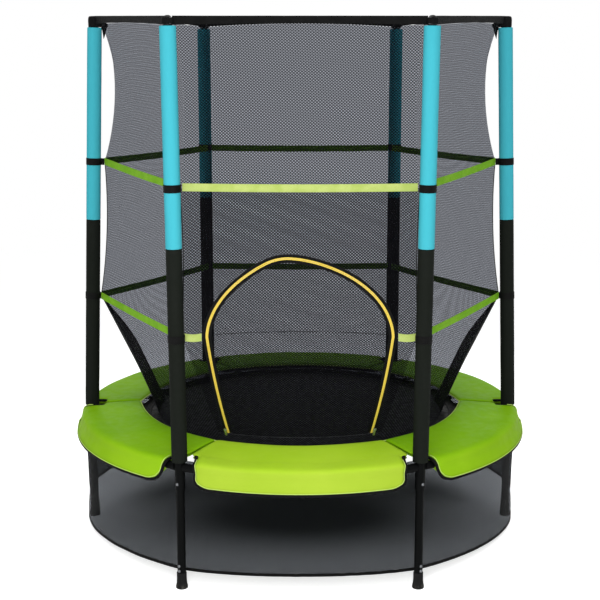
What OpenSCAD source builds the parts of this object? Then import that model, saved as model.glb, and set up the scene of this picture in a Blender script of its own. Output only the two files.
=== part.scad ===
/* [Frame] */
// Radius of the circle through the six leg axes, and of the ring's centreline
ring_r = 687.5; // [640:2.5:740]
// Height of the ring's centreline above the floor
ring_z = 368.5; // [340:0.5:400]
// Outside diameter of the steel tubes
tube_d = 25; // [22:0.5:28]
// Wall of the steel tubes
tube_wall = 1.5; // [1.2:0.1:2]
// Depth that one tube or stub goes into the next
insert_len = 40; // [30:1:50]
// How far the two side poles lean inward
side_lean = 2.1; // [0:0.1:3]
// How far the two front poles lean outward
front_lean = 0.8; // [0:0.1:1.5]
// Wall of a leg socket
socket_wall = 2; // [1.5:0.1:2.5]
// Length of a socket below the ring's centreline
socket_drop = 68; // [60:1:80]
// Height of a rubber foot
foot_h = 48; // [40:1:60]
// Diameter of a rubber foot's flared base
foot_d = 35; // [33:0.5:44]

/* [Poles] */
// Height at which the lower pole ends and the upper one starts
pole_split_z = 1000; // [900:5:1100]
// Height of the top of the upper poles
pole_top_z = 1604; // [1500:2:1700]
// Outside diameter of the foam sleeves
foam_d = 46; // [42:1:50]
// Diameter of the domed cap on a pole
cap_d = 20; // [16:1:24]

/* [Mat and springs] */
// Radius of the jumping mat
mat_r = 520; // [500:1:530]
// Thickness of the mat
mat_t = 3; // [2:0.5:4]
// Width of the webbing sewn round the mat's edge
edge_band_w = 33; // [25:1:45]
// Number of springs round the mat
spring_count = 36; // [24:12:36]
// Outside diameter of a spring
spring_d = 12; // [10:0.5:13]
// Thickness of a spring's wire
spring_wire = 2.4; // [2:0.1:3]

/* [Safety pad] */
// Thickness of the padded ring
pad_t = 12; // [8:1:18]
// Thickness of the flap that hangs outside the ring
flap_t = 6; // [4:0.5:8]
// Height of the flap's hem above the floor
flap_hem_z = 325; // [310:1:335]
// How far the flap's hem stands out past the ring's tube
flap_out = 26; // [20:1:34]
// How far the pad laps over the mat at the front and back poles
pad_lap = 20; // [0:1:25]
// How far the pad's inner edge keeps off the mat at the side poles
pad_side_clear = 15; // [-20:1:30]
// Outward bulge of the inner edge between two poles
pad_bulge = 57; // [38:1:60]
// How far the pad's inner edge stands above its outer part
pad_rise = 7; // [0:0.5:10]
// Width of the slot that lets a pole through
notch_w = 66; // [62:1:80]
// How much further the front panel's flap stops short of the poles than the other panels' do
front_cut = 20; // [0:1:30]
// Room between a foam sleeve and the inner end of its slot
notch_room = 24; // [20:1:60]

/* [Safety net] */
// Thickness of the net fabric
net_t = 2; // [1.5:0.1:2.5]
// Distance of the net's seam on the mat inside the mat's edge webbing
net_seam_in = 27; // [25:1:57]
// Height of the lower webbing at the front poles
lower_strap_front_z = 744; // [700:1:780]
// Height of the lower webbing at the side poles
lower_strap_side_z = 752; // [700:1:780]
// Height of the lower webbing at the back poles
lower_strap_back_z = 748; // [700:1:780]
// Height of the upper webbing at the front poles
upper_strap_front_z = 1167; // [1120:1:1220]
// Height of the upper webbing at the side poles
upper_strap_side_z = 1186; // [1120:1:1220]
// Height of the upper webbing at the back poles
upper_strap_back_z = 1182; // [1120:1:1220]
// Width of the webbing
strap_w = 22; // [15:1:30]
// Thickness of the webbing
strap_t = 2.5; // [1.5:0.1:3]
// Distance of the net's corners inside the pole axes at the upper webbing
inset_upper = 35; // [32:1:45]
// Distance of the net's corners inside the pole axes at the lower webbing
inset_lower = 27; // [27:0.5:35]
// Inward bow of the net between the two levels of webbing
bow_middle = 13; // [0:1:20]
// Inward bow of the net between the upper webbing and the top band
bow_top = 30; // [0:1:40]
// Height of the top band at a pole
band_h = 21; // [18:0.5:24]
// Height of the top band halfway between two poles
band_mid_h = 13; // [8:0.5:18]
// Thickness of the top band
band_t = 4; // [2:0.5:5]

/* [Door] */
// Distance of the door's widest part from the net's corners
door_side_margin = 71; // [58:1:92]
// Distance of the door's foot from the net's corners
door_foot_margin = 34; // [31:1:54]
// Height of the door's foot above the mat's top
door_foot_rise = 50; // [46:1:70]
// Height of the door's arched top above the lower webbing
door_rise = 222; // [180:1:260]
// How far the door's top sits left of the middle
door_skew = 34; // [0:1:45]
// Outward bow of the door's two straight sides
door_side_bow = 0.39; // [0:0.01:0.5]
// Width of one half of the zip with its binding
zip_half_w = 12; // [9:0.5:14]
// Thickness of the zip's tape
zip_t = 3; // [2:0.5:4]

/* [Lower net] */
// Thickness of the lower net
skirt_t = 1.5; // [1:0.1:1.8]
// Height of the hem at the front legs
hem_front_z = 52; // [45:1:80]
// Height of the hem at the foot of the side legs
hem_side_z = 12; // [8:1:20]
// Height of the hem at the back
hem_back_z = 105; // [60:1:120]
// Width of the hem's binding
hem_w = 10; // [6:0.5:12]
// Thickness of the hem's binding
hem_t = 2.4; // [1.5:0.1:2.4]
// How far the hem runs inside the circle in the middle of the front and back bays
hem_dip = 42; // [30:1:90]
// How far the hem runs inside the circle in the middle of the other bays
hem_dip_side = 22; // [10:1:60]

/* [Hidden] */
$fn = 48;

// clearances
fit = 0.15; // between a tube and what it slides into, on the radius
gap = 0.3; // between a soft piece and its neighbour
seam = 0.1; // half of the gap at a sewn seam

// tubes
tube_r = tube_d / 2;
tube_in_r = tube_r - tube_wall;
bend_z = ring_z - 23; // where a side pole starts to lean
socket_bore_r = tube_r + fit;
socket_r = socket_bore_r + socket_wall;
socket_step = 0.1; // how much wider a socket is above its bend
socket_low_z = ring_z - socket_drop;
socket_top_z = ring_z + 15.5;
leg_top_z = bend_z - 2;
foot_floor = 8;
leg_low_z = foot_floor + gap;
swage_r = tube_in_r - fit;
swage_wall = 1.5;
swage_blend = 6;
tube_end = asin((socket_r + 0.5) / ring_r);

// bolts
bolt_d = 5;
bolt_head_d = 9;
bolt_head_h = 2.7;
bolt_len = 8;
socket_bolt_z = ring_z - 49.5;
leg_bolt_z = [foot_h + 6.5, foot_h + 21.5];

// foam and caps
foam_r = foam_d / 2;
foam_bore_r = tube_r + gap;
foam_low_z = socket_top_z + gap;
foam_top_z = pole_top_z - 1.7;
cap_flange_t = 2.5;
cap_neck_r = 4;
band_top_z = pole_top_z + 20;
cap_top_z = band_top_z + 6;
cup_r = 17;
cup_low_z = pole_top_z + cap_flange_t + gap + tube_r * sin(side_lean);
dome_low_h = band_top_z - pole_top_z + gap + cap_d / 2 * sin(side_lean);
dome_rim_h = 1.8;
dome_top_h = cap_top_z - pole_top_z;

// mat
mat_top_z = ring_z + mat_t / 2;
edge_band_t = 2;
spring_step = 360 / spring_count;
link_wire = 3;
loop_w = 20;
link_w = loop_w + 2 * link_wire + 2;
link_in_r = mat_r + 6.5;
link_out_r = mat_r + 27.5;
hook_bar_r = link_out_r - link_wire / 2;
hook_bend_r = link_wire * 0.71 + gap + spring_wire / 2;
loop_h = link_wire + 4;
coil_in_r = hook_bar_r + 16;
coil_out_r = ring_r - tube_r - 23;
hook_hole_d = 6;
hook_drop = 6.5;
hook_end_r = ring_r - sqrt(pow(tube_in_r, 2) - pow(hook_drop, 2)) + spring_wire / 2 + gap;

// pad
pad_low_z = ring_z + tube_r + 0.5;
pad_top_z = pad_low_z + pad_t;
notch_r = ring_r - foam_r - notch_room;
pad_cols = 14;
front = 4; // the front bay, and the pole at its left
pad_inner_r = mat_r - pad_lap;
pad_inner_side_r = mat_r + pad_side_clear;

// net
net_low_z = mat_top_z + gap;
net_bottom_r = mat_r - edge_band_w - net_seam_in;
net_flare = inset_upper * cos(30);
net_cols = 14;
tier_rows = 6;
tie_t = 1.2;
tie_gap = 0.2;
strap_trim = 10;
strap_off = net_t / 2 + gap;

// door
door_foot_z = mat_top_z + door_foot_rise;
door_low_z = door_foot_z - 1.5;
door_spring_z = lower_strap_front_z;
door_power = 1.8;
left_lean_power = 12; // how late the arch's left and right shoulders follow its leaning top
right_lean_power = 4;
zip_gap = 0.25;
tape_gap = 0.7; // between a tape's edge and the net
arch_leg_cols = 8;
arch_top_cols = 12;
slider_z = door_foot_z + 12;
slider_len = 12;
slider_w = 9;
slider_t = 4;
slider_gap = 0.9; // between a slider and the tape behind it
slider_travel_z = 117; // how far a slider can rise up the straight side of the door

// lower net
skirt_top_z = ring_z - tube_r - 6;
skirt_in_r = ring_r - socket_r - gap - 0.4 - skirt_t / 2;
skirt_cols = 12;
skirt_over_bolt_z = leg_bolt_z[1] + bolt_head_d / 2 + 1;
skirt_on_leg_z = skirt_over_bolt_z + 20;
skirt_off_leg_z = socket_low_z - 12;
skirt_over_head_z = socket_bolt_z - bolt_head_d / 2 - 3.5;

function lerp(a, b, t) = a + (b - a) * t;
function unit(v) = v / norm(v);
function dir(a) = [cos(a), sin(a), 0];
function pole_angle(k) = 60 * k;
function is_side(k) = k % 3 == 0;
function is_back(k) = k % 6 == 1 || k % 6 == 2;

// inward lean of pole k
function lean(k) = is_side(k) ? side_lean : is_back(k) ? 0 : -front_lean;

// length along pole k's own axis that reaches the height z
function along_pole(k, z) = bend_z + (z - bend_z) / cos(lean(k));

// radius of pole k's axis at height z
function axis_r(k, z) = ring_r - max(0, z - bend_z) * tan(lean(k));
function lower_strap_z(k) =
    is_side(k) ? lower_strap_side_z : is_back(k) ? lower_strap_back_z : lower_strap_front_z;
function upper_strap_z(k) =
    is_side(k) ? upper_strap_side_z : is_back(k) ? upper_strap_back_z : upper_strap_front_z;

module at_pole(k) {
    rotate(pole_angle(k)) translate([ring_r, 0, 0]) children();
}

// as at_pole, but along the pole's leaning axis
module on_pole(k) {
    at_pole(k) translate([0, 0, bend_z]) rotate([0, -lean(k), 0]) translate([0, 0, -bend_z]) children();
}

module tube(r, wall, z0, z1) {
    difference() {
        translate([0, 0, z0]) cylinder(r = r, h = z1 - z0);
        translate([0, 0, z0 - 1]) cylinder(r = r - wall, h = z1 - z0 + 2);
    }
}

// closed sheet between two grids of points: front[i][j] faces out when i runs right and j runs up
module slab(front, back) {
    m = len(front);
    n = len(front[0]);
    function at(i, j, side) = side * m * n + i * n + j;
    function quad(a, b, c, d) = [[a, b, c], [a, c, d]];
    points = [for (grid = [front, back]) for (row = grid) for (p = row) p];
    faces = [
        for (i = [0 : m - 2]) for (j = [0 : n - 2]) for (f = concat(
            quad(at(i, j, 0), at(i, j + 1, 0), at(i + 1, j + 1, 0), at(i + 1, j, 0)),
            quad(at(i, j, 1), at(i + 1, j, 1), at(i + 1, j + 1, 1), at(i, j + 1, 1))
        )) f,
        for (j = [0 : n - 2]) for (f = concat(
            quad(at(0, j + 1, 0), at(0, j, 0), at(0, j, 1), at(0, j + 1, 1)),
            quad(at(m - 1, j, 0), at(m - 1, j + 1, 0), at(m - 1, j + 1, 1), at(m - 1, j, 1))
        )) f,
        for (i = [0 : m - 2]) for (f = concat(
            quad(at(i, 0, 0), at(i + 1, 0, 0), at(i + 1, 0, 1), at(i, 0, 1)),
            quad(at(i + 1, n - 1, 0), at(i, n - 1, 0), at(i, n - 1, 1), at(i + 1, n - 1, 1))
        )) f
    ];
    polyhedron(points, faces);
}

// ---------- frame ----------

module ring_arc(r, a0, a1) {
    translate([0, 0, ring_z]) rotate(a0)
        rotate_extrude(angle = a1 - a0, $fn = 180) translate([ring_r, 0]) circle(r, $fn = 48);
}

module frame_tube(k) {
    a = pole_angle(k);
    color("#1c1d1c") difference() {
        ring_arc(tube_r, a + tube_end, a + 60 - tube_end);
        ring_arc(tube_in_r, a, a + 60);
        for (i = [0 : spring_count / 6 - 1])
            rotate(a + (i + 0.5) * spring_step) translate([ring_r - tube_d, 0, ring_z])
                rotate([0, 90, 0]) cylinder(d = hook_hole_d, h = tube_d);
    }
}

module leg_socket(k) {
    a = pole_angle(k);
    stub_a0 = asin((socket_bore_r + 0.4) / ring_r);
    stub_a1 = asin((socket_r + insert_len) / ring_r);
    color("#202120") difference() {
        union() {
            at_pole(k) translate([0, 0, socket_low_z]) cylinder(r = socket_r, h = bend_z + 1.5 - socket_low_z);
            on_pole(k) translate([0, 0, bend_z]) cylinder(r = socket_r + socket_step, h = socket_top_z - bend_z);
            for (s = [-1, 1]) difference() {
                ring_arc(swage_r, a + min(s * stub_a0, s * stub_a1), a + max(s * stub_a0, s * stub_a1));
                ring_arc(swage_r - swage_wall, a - 8, a + 8);
            }
        }
        at_pole(k) translate([0, 0, socket_low_z - 1]) cylinder(r = socket_bore_r, h = bend_z + 1 - socket_low_z);
        on_pole(k) translate([0, 0, bend_z - 0.5]) cylinder(r = socket_bore_r + socket_step / 2, h = socket_drop);
        at_pole(k) bolt_hole(socket_bolt_z);
    }
}

module bolt_hole(z) {
    translate([tube_r - 5, 0, z]) rotate([0, 90, 0]) cylinder(d = bolt_d + 0.4, h = 12);
}

module leg(k) {
    color("#171817") at_pole(k) difference() {
        tube(tube_r, tube_wall, leg_low_z, leg_top_z);
        for (z = concat([socket_bolt_z], leg_bolt_z)) bolt_hole(z);
    }
}

module lower_pole(k) {
    color("#171817") on_pole(k) difference() {
        union() {
            translate([0, 0, bend_z + 1]) cylinder(r = tube_r, h = pole_split_z - bend_z - 1);
            translate([0, 0, pole_split_z - 1]) cylinder(r = swage_r, h = insert_len + 1);
        }
        translate([0, 0, bend_z]) cylinder(r = tube_in_r, h = pole_split_z - bend_z - swage_blend);
        translate([0, 0, pole_split_z - swage_blend - 1])
            cylinder(r = swage_r - swage_wall, h = insert_len + swage_blend + 2);
    }
}

module upper_pole(k) {
    color("#171817") on_pole(k) tube(tube_r, tube_wall, pole_split_z, along_pole(k, pole_top_z));
}

module rubber_foot() {
    rotate_extrude() polygon([
        [0, 0], [foot_d / 2 - 1, 0], [foot_d / 2, 1.5], [foot_d / 2, 7], [foot_d / 2 - 1.8, 14],
        [tube_r + 2, 28], [tube_r + 2, foot_h - 1], [tube_r + 1.2, foot_h],
        [tube_r + fit, foot_h], [tube_r + fit, foot_floor], [0, foot_floor]
    ]);
}

module rubber_feet() {
    color("#141414") for (k = [0 : 5]) at_pole(k) rubber_foot();
}

module bolt(x) {
    translate([x, 0, 0]) rotate([0, 90, 0]) rotate_extrude() polygon([
        [0, -bolt_len], [bolt_d / 2, -bolt_len], [bolt_d / 2, 0.1], [bolt_head_d / 2, 0.1],
        [bolt_head_d / 2, 0.9], [bolt_head_d / 2 - 1, bolt_head_h - 0.7],
        [bolt_head_d / 2 - 2.5, bolt_head_h], [0, bolt_head_h]
    ]);
}

module frame_bolts() {
    color("#b8bcc0") for (k = [0 : 5]) at_pole(k) {
        translate([0, 0, socket_bolt_z]) bolt(socket_r);
        for (z = leg_bolt_z) translate([0, 0, z]) bolt(tube_r);
    }
}

// ---------- foam and caps ----------

module foam_sleeve(k, z0, z1) {
    on_pole(k) difference() {
        translate([0, 0, z0]) cylinder(r = foam_r, h = z1 - z0);
        translate([0, 0, z0 - 1]) cylinder(r = foam_bore_r, h = z1 - z0 + 2);
    }
}

module lower_foam_sleeves() {
    color("#26282a") for (k = [0 : 5]) foam_sleeve(k, foam_low_z, pole_split_z - gap / 2);
}

module upper_foam_sleeves() {
    color("#25b2c8") for (k = [0 : 5]) foam_sleeve(k, pole_split_z + gap / 2, along_pole(k, foam_top_z));
}

module pole_caps() {
    plug_len = 30;
    color("#161616") for (k = [0 : 5]) on_pole(k) translate([0, 0, along_pole(k, pole_top_z)])
        rotate_extrude() polygon([
            [0, -plug_len], [tube_in_r - fit, -plug_len], [tube_in_r - fit, 0], [tube_r, 0],
            [tube_r, cap_flange_t], [cap_neck_r, cap_flange_t], [cap_neck_r, dome_low_h],
            [cap_d / 2, dome_low_h], [cap_d / 2, dome_low_h + dome_rim_h],
            [cap_d * 0.34, dome_top_h - 1.2], [cap_d * 0.15, dome_top_h], [0, dome_top_h]
        ]);
}

// ---------- mat and springs ----------

module mat() {
    color("#101113") translate([0, 0, ring_z - mat_t / 2]) cylinder(r = mat_r, h = mat_t, $fn = 180);
}

module at_springs() {
    for (i = [0 : spring_count - 1]) rotate((i + 0.5) * spring_step) translate([0, 0, ring_z]) children();
}

module mat_edge_band() {
    slot = link_wire + 2 * gap;
    color("#17181a") difference() {
        union() {
            translate([0, 0, mat_top_z]) difference() {
                cylinder(r = mat_r + 1, h = edge_band_t, $fn = 180);
                translate([0, 0, -1]) cylinder(r = mat_r - edge_band_w, h = edge_band_t + 2, $fn = 180);
            }
            at_springs() translate([mat_r + gap, -loop_w / 2, -loop_h / 2])
                cube([link_in_r + link_wire + 3 - mat_r, loop_w, loop_h / 2 + mat_t / 2 + edge_band_t]);
        }
        at_springs() translate([link_in_r - gap, -link_w, -slot / 2]) cube([slot, 2 * link_w, slot]);
    }
}

// flat wire link with cut corners, seen from above
module link_outline(x0, x1, w, cut) {
    polygon([
        [x0 + cut, -w], [x1 - cut, -w], [x1, cut - w], [x1, w - cut],
        [x1 - cut, w], [x0 + cut, w], [x0, w - cut], [x0, cut - w]
    ]);
}

module mat_rings() {
    color("#c4c8cc") at_springs() translate([0, 0, -link_wire / 2]) linear_extrude(link_wire) difference() {
        link_outline(link_in_r, link_out_r, link_w / 2, 3);
        link_outline(link_in_r + link_wire, link_out_r - link_wire, link_w / 2 - link_wire, 1);
    }
}

module spring() {
    // hook round the outer bar of the mat's link
    translate([hook_bar_r, 0, 0]) rotate([90, 0, 0]) rotate(90)
        rotate_extrude(angle = 180) translate([hook_bend_r, 0]) circle(d = spring_wire, $fn = 24);
    translate([hook_bar_r, 0, hook_bend_r]) rotate([0, 90, 0])
        cylinder(d = spring_wire, h = coil_in_r - hook_bar_r + 1, $fn = 24);
    // closed coil
    translate([coil_in_r, 0, 0]) rotate([0, 90, 0]) cylinder(d = spring_d, h = coil_out_r - coil_in_r);
    // hook through the ring's wall
    translate([coil_out_r - 1, 0, 0]) rotate([0, 90, 0])
        cylinder(d = spring_wire, h = hook_end_r - coil_out_r + 1 + spring_wire / 2, $fn = 24);
    translate([hook_end_r, 0, -hook_drop]) cylinder(d = spring_wire, h = hook_drop, $fn = 24);
}

module springs() {
    color("#c4c8cc") at_springs() spring();
}

// ---------- safety pad ----------

function pad_inner(k) = is_side(k) ? pad_inner_side_r : pad_inner_r;

// radius of the inner edge at the fraction u of the way from pole k to the next
function pad_edge_r(k, u) =
    let (a = pad_inner(k), b = pad_inner(k + 1))
    a * b * sin(60) / (a * sin(60 * u) + b * sin(60 * (1 - u))) + pad_bulge * 4 * u * (1 - u);

// rows across the pad, hem first: top radius and height, under radius and height, end margin
function pad_rows(inner, cut) =
    let (out = ring_r + tube_r, half = notch_w / 2) [
        [out + flap_out, flap_hem_z, out + flap_out - flap_t, flap_hem_z, half + 62 + cut],
        [out + flap_out * 0.93, flap_hem_z + 3, out + flap_out * 0.93 - flap_t, flap_hem_z + 3, half + 45 + cut],
        [out + flap_out * 0.75, flap_hem_z + 11, out + flap_out * 0.75 - flap_t, flap_hem_z + 11, half + 25 + cut],
        [out + 8 + flap_t, ring_z - 16, out + 8, ring_z - 16, half + 15 + cut],
        [out + 4 + flap_t, ring_z + 3, out + 4, ring_z, half + 11 + cut],
        [out + 4, pad_top_z - 6, out - 1, pad_low_z - 2.5, half + 5 + 0.9 * cut],
        [ring_r, pad_top_z - 0.5, ring_r, pad_low_z, half + 2 + 0.75 * cut],
        [ring_r - 28, pad_top_z, ring_r - 28, pad_low_z, half + 0.3 * cut],
        [notch_r, pad_top_z, notch_r, pad_low_z, half],
        [notch_r - 2, pad_top_z, notch_r - 2, pad_low_z, seam],
        [inner + 10, pad_top_z + pad_rise, inner + 10, pad_low_z + pad_rise, seam],
        [inner, pad_top_z + pad_rise - 3.5, inner, pad_low_z + pad_rise + 1.5, seam]
    ];

function pad_point(k, s, r, z, margin) =
    let (a = pole_angle(k) + 30 + s * (30 - asin(margin / r))) [r * cos(a), r * sin(a), z];

module pad_panel(k) {
    steps = [for (i = [0 : pad_cols]) 2 * i / pad_cols - 1];
    cut = k == front ? front_cut : 0;
    color("#9ac82c") slab(
        [for (s = steps) [for (row = pad_rows(pad_edge_r(k, (s + 1) / 2), cut))
            pad_point(k, s, row[0], row[1], row[4])]],
        [for (s = steps) [for (row = pad_rows(pad_edge_r(k, (s + 1) / 2), cut))
            pad_point(k, s, row[2], row[3], row[4])]]
    );
}

// ---------- safety net ----------

// distance of the net's corner inside the pole axis at the fraction v of a tier's height
function corner_inset(tier, v) =
    tier == 1 ? lerp(inset_lower, inset_upper, v) + bow_middle * 4 * v * (1 - v)
    : inset_upper + bow_top * 4 * v * (1 - v);

// net corner at pole k: tier 1 is between the two levels of webbing and tier 2 above them
function corner(k, tier, v, top_z) =
    let (
        z = tier == 1 ? lerp(lower_strap_z(k), upper_strap_z(k), v) : lerp(upper_strap_z(k), top_z, v),
        r = axis_r(k, z) - corner_inset(tier, v)
    ) r * dir(pole_angle(k)) + [0, 0, z];

function band_low_z(w) = band_top_z - lerp(band_mid_h, band_h, w * w);

// how far the net has reached the band at the place w across the bay, from 0 to 1
function flare_share(w) = let (t = min(1, (1 - abs(w)) / 0.18)) t * t * (3 - 2 * t);

// point of bay k's net: w from -1 to 1 across the bay, v from 0 to 1 up the tier, off outward
function net_point(k, w, tier, v, off) =
    let (
        u = (w + 1) / 2,
        a = pole_angle(k),
        out = dir(a + 30),
        top_z = band_low_z(w) - gap,
        low = net_bottom_r * dir(a + 60 * u) + [0, 0, net_low_z],
        p = tier == 0
            ? lerp(low, lerp(corner(k, 1, 0, 0), corner(k + 1, 1, 0, 0), u), v)
            : lerp(corner(k, tier, v, top_z), corner(k + 1, tier, v, top_z), u)
                + (tier == 2 ? net_flare * v * v * flare_share(w) : 0) * out
    ) p + off * (out + w * tan(30) * dir(a + 120));

module net_panel(k, tier, rows) {
    edge = 1 - 2 * seam / ring_r;
    steps = [for (i = [0 : net_cols]) lerp(-edge, edge, i / net_cols)];
    low_v = tier == 0 ? 0 : 0.001;
    slab(
        [for (w = steps) [for (j = [0 : rows]) net_point(k, w, tier, lerp(low_v, 0.999, j / rows), net_t / 2)]],
        [for (w = steps) [for (j = [0 : rows]) net_point(k, w, tier, lerp(low_v, 0.999, j / rows), -net_t / 2)]]
    );
}

module net_top_tier() {
    color("#3c3d42") for (k = [0 : 5]) net_panel(k, 2, tier_rows);
}

module net_middle_tier() {
    color("#3c3d42") for (k = [0, 1, 2, 3, 5]) net_panel(k, 1, tier_rows);
}

module net_lower_tier() {
    color("#3c3d42") for (k = [0, 1, 2, 3, 5]) net_panel(k, 0, 2);
}

// ---------- front bay and door ----------

// half width of the front bay at height z
function front_half(z) =
    z < lower_strap_front_z
        ? lerp(net_bottom_r, axis_r(front, lower_strap_front_z) - inset_lower,
            (z - net_low_z) / (lower_strap_front_z - net_low_z)) / 2
        : (axis_r(front, z)
            - corner_inset(1, (z - lower_strap_front_z) / (upper_strap_front_z - lower_strap_front_z))) / 2;

door_half_w = front_half(door_spring_z) - door_side_margin;
door_foot_half_w = front_half(door_foot_z) - door_foot_margin;

// point of the front bay at the share w of its half width and height z
function front_at(w, z, off) =
    z < lower_strap_front_z
        ? net_point(front, w, 0, (z - net_low_z) / (lower_strap_front_z - net_low_z), off)
        : net_point(front, w, 1, (z - lower_strap_front_z) / (upper_strap_front_z - lower_strap_front_z), off);

function front_point(x, z, off) = front_at(x / front_half(z), z, off);

// the zip's centreline in X and Z: t from -1 at the left foot, over the top at 0, to 1
function arch(t) =
    let (q = 1 - min(1, abs(t)), side = t < 0 ? -1 : 1)
    q < 0.5
        ? let (s = 2 * q)
            [side * lerp(door_foot_half_w, door_half_w, s + door_side_bow * s * (1 - s)),
             lerp(door_foot_z, door_spring_z, s)]
        : let (a = (q - 0.5) * 180)
            [side * door_half_w * pow(cos(a), 2 / door_power)
                - door_skew * pow(sin(a), side < 0 ? left_lean_power : right_lean_power),
             door_spring_z + door_rise * pow(sin(a), 2 / door_power)];

function arch_off(t, d) =
    let (e = 0.002, a = arch(max(-1, t - e)), b = arch(min(1, t + e)), n = unit([a[1] - b[1], b[0] - a[0]]))
    arch(t) + d * n;

arch_steps = concat(
    [for (i = [0 : arch_leg_cols - 1]) -1 + 0.5 * i / arch_leg_cols],
    [for (i = [0 : 2 * arch_top_cols]) -0.5 + 0.5 * i / arch_top_cols],
    [for (i = [1 : arch_leg_cols]) 0.5 + 0.5 * i / arch_leg_cols]
);

// place on the front bay's outer edge that faces the arch at t, as width share and height
function bay_edge(t, z) =
    let (side = t < 0 ? -1 : 1, edge = 1 - 2 * seam / ring_r, top_z = upper_strap_front_z - 1)
    abs(t) >= 0.5 ? [side * edge, z]
    : abs(t) >= 0.25 ? [side * edge, lerp(door_spring_z, top_z, (0.5 - abs(t)) / 0.25)]
    : [edge * t / 0.25, top_z];

function front_net_row(t, off) =
    let (
        p = arch_off(t, zip_gap + zip_half_w + tape_gap),
        from = [p[0] / front_half(p[1]), p[1]],
        to = bay_edge(t, p[1])
    ) [for (j = [0 : tier_rows]) let (q = lerp(from, to, j / tier_rows)) front_at(q[0], q[1], off)];

module net_front() {
    color("#3c3d42") {
        slab([for (t = arch_steps) front_net_row(t, net_t / 2)], [for (t = arch_steps) front_net_row(t, -net_t / 2)]);
        // strip of net under the door
        sill = [for (i = [0 : net_cols]) lerp(-1, 1, i / net_cols) * (1 - 2 * seam / ring_r)];
        levels = [net_low_z, lerp(net_low_z, door_foot_z, 0.5), door_low_z - 2.5];
        slab([for (w = sill) [for (z = levels) front_at(w, z, net_t / 2)]],
             [for (w = sill) [for (z = levels) front_at(w, z, -net_t / 2)]]);
    }
}

module zip_half(d0, d1) {
    slab([for (t = arch_steps) [for (d = [d0, d1]) let (p = arch_off(t, d)) front_point(p[0], p[1], zip_t / 2)]],
         [for (t = arch_steps) [for (d = [d0, d1]) let (p = arch_off(t, d)) front_point(p[0], p[1], -zip_t / 2)]]);
}

module zip_outer_half() {
    color("#e8c83c") zip_half(zip_gap, zip_gap + zip_half_w);
}

module zip_inner_half() {
    color("#e8c83c") zip_half(-zip_gap - zip_half_w, -zip_gap);
}

module net_door() {
    inside = -zip_gap - zip_half_w - tape_gap;
    steps = concat(
        [for (i = [1 : arch_leg_cols]) 1 - 0.5 * i / arch_leg_cols],
        [for (i = [1 : arch_top_cols - 1]) 0.5 - 0.5 * i / arch_top_cols]
    );
    // up one side of the arch, inside the zip
    function side_up(side) =
        concat([[arch_off(side, inside)[0], door_low_z]], [for (t = steps) arch_off(side * t, inside)]);
    left = side_up(-1);
    right = side_up(1);
    cols = 10;
    function row_across(i, off) =
        [for (j = [0 : len(left) - 1]) let (q = lerp(left[j], right[j], i / cols)) front_point(q[0], q[1], off)];
    color("#3c3d42") slab(
        [for (i = [0 : cols]) row_across(i, net_t / 2)],
        [for (i = [0 : cols]) row_across(i, -net_t / 2)]
    );
}

// middle of the path of a slider at height z: on the outer half of the zip
function slider_point(side, z, across = 0) =
    let (
        s = (z - door_foot_z) / (door_spring_z - door_foot_z),
        x = lerp(door_foot_half_w, door_half_w, s + door_side_bow * s * (1 - s))
            + zip_gap + slider_w / 2 + 0.6
    ) front_point(side * x + across, z, 0);

// place and directions of a slider, in front of the tape, square to it halfway up its travel
module at_slider(side) {
    a = slider_point(side, slider_z);
    along = unit(slider_point(side, slider_z + slider_travel_z) - a);
    half_z = slider_z + slider_travel_z / 2;
    right = slider_point(side, half_z, 1) - slider_point(side, half_z, -1);
    out = unit(cross(right, along));
    over = cross(along, out);
    place = a + (zip_t / 2 + slider_gap) * out;
    multmatrix([
        [over[0], along[0], out[0], place[0]],
        [over[1], along[1], out[1], place[1]],
        [over[2], along[2], out[2], place[2]],
        [0, 0, 0, 1]
    ]) children();
}

module zip_slider() {
    half = slider_w / 2;
    linear_extrude(slider_t) polygon([
        [-half + 1.5, -slider_len / 2], [half - 1.5, -slider_len / 2], [half, slider_len / 2 - 3],
        [half, slider_len / 2], [1, slider_len / 2], [0, slider_len / 2 - 2], [-1, slider_len / 2],
        [-half, slider_len / 2], [-half, slider_len / 2 - 3]
    ]);
    // bridge that holds the pull
    translate([-0.8, -3, slider_t - 0.1]) difference() {
        cube([1.6, 7, 3]);
        translate([-1, 1.5, -1]) cube([4, 4, 2.8]);
    }
    // pull, hanging down the zip
    translate([0, 0, slider_t + gap / 2]) linear_extrude(1.2) difference() {
        polygon([[-2.5, 3.2], [2.5, 3.2], [3, -16], [1.5, -18], [-1.5, -18], [-3, -16]]);
        polygon([[-1.3, 2.2], [1.3, 2.2], [1.3, -3.3], [-1.3, -3.3]]);
    }
}

module zip_slider_left() {
    color("#d8dadc") at_slider(-1) zip_slider();
}

module zip_slider_right() {
    color("#d8dadc") at_slider(1) zip_slider();
}

// ---------- webbing, ties and top band ----------

// webbing on bay k at the top of a tier, between two places across the bay
module webbing(k, v, w0, w1) {
    function band_at(w, off, dz) = net_point(k, w, 1, v, off) + [0, 0, dz];
    slab([for (w = [w0, w1]) [for (dz = [-0.5, 0.5]) band_at(w, strap_off + strap_t, dz * strap_w)]],
         [for (w = [w0, w1]) [for (dz = [-0.5, 0.5]) band_at(w, strap_off, dz * strap_w)]]);
}

module net_webbing() {
    edge = 1 - 2 * strap_trim / ring_r;
    door_edge = (door_half_w + zip_gap + zip_half_w + 2) / front_half(lower_strap_front_z);
    color("#8cc63c") {
        for (k = [0 : 5]) webbing(k, 1, -edge, edge);
        for (k = [0, 1, 2, 3, 5]) webbing(k, 0, -edge, edge);
        webbing(front, 0, -edge, -door_edge);
        webbing(front, 0, door_edge, edge);
    }
}

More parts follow.
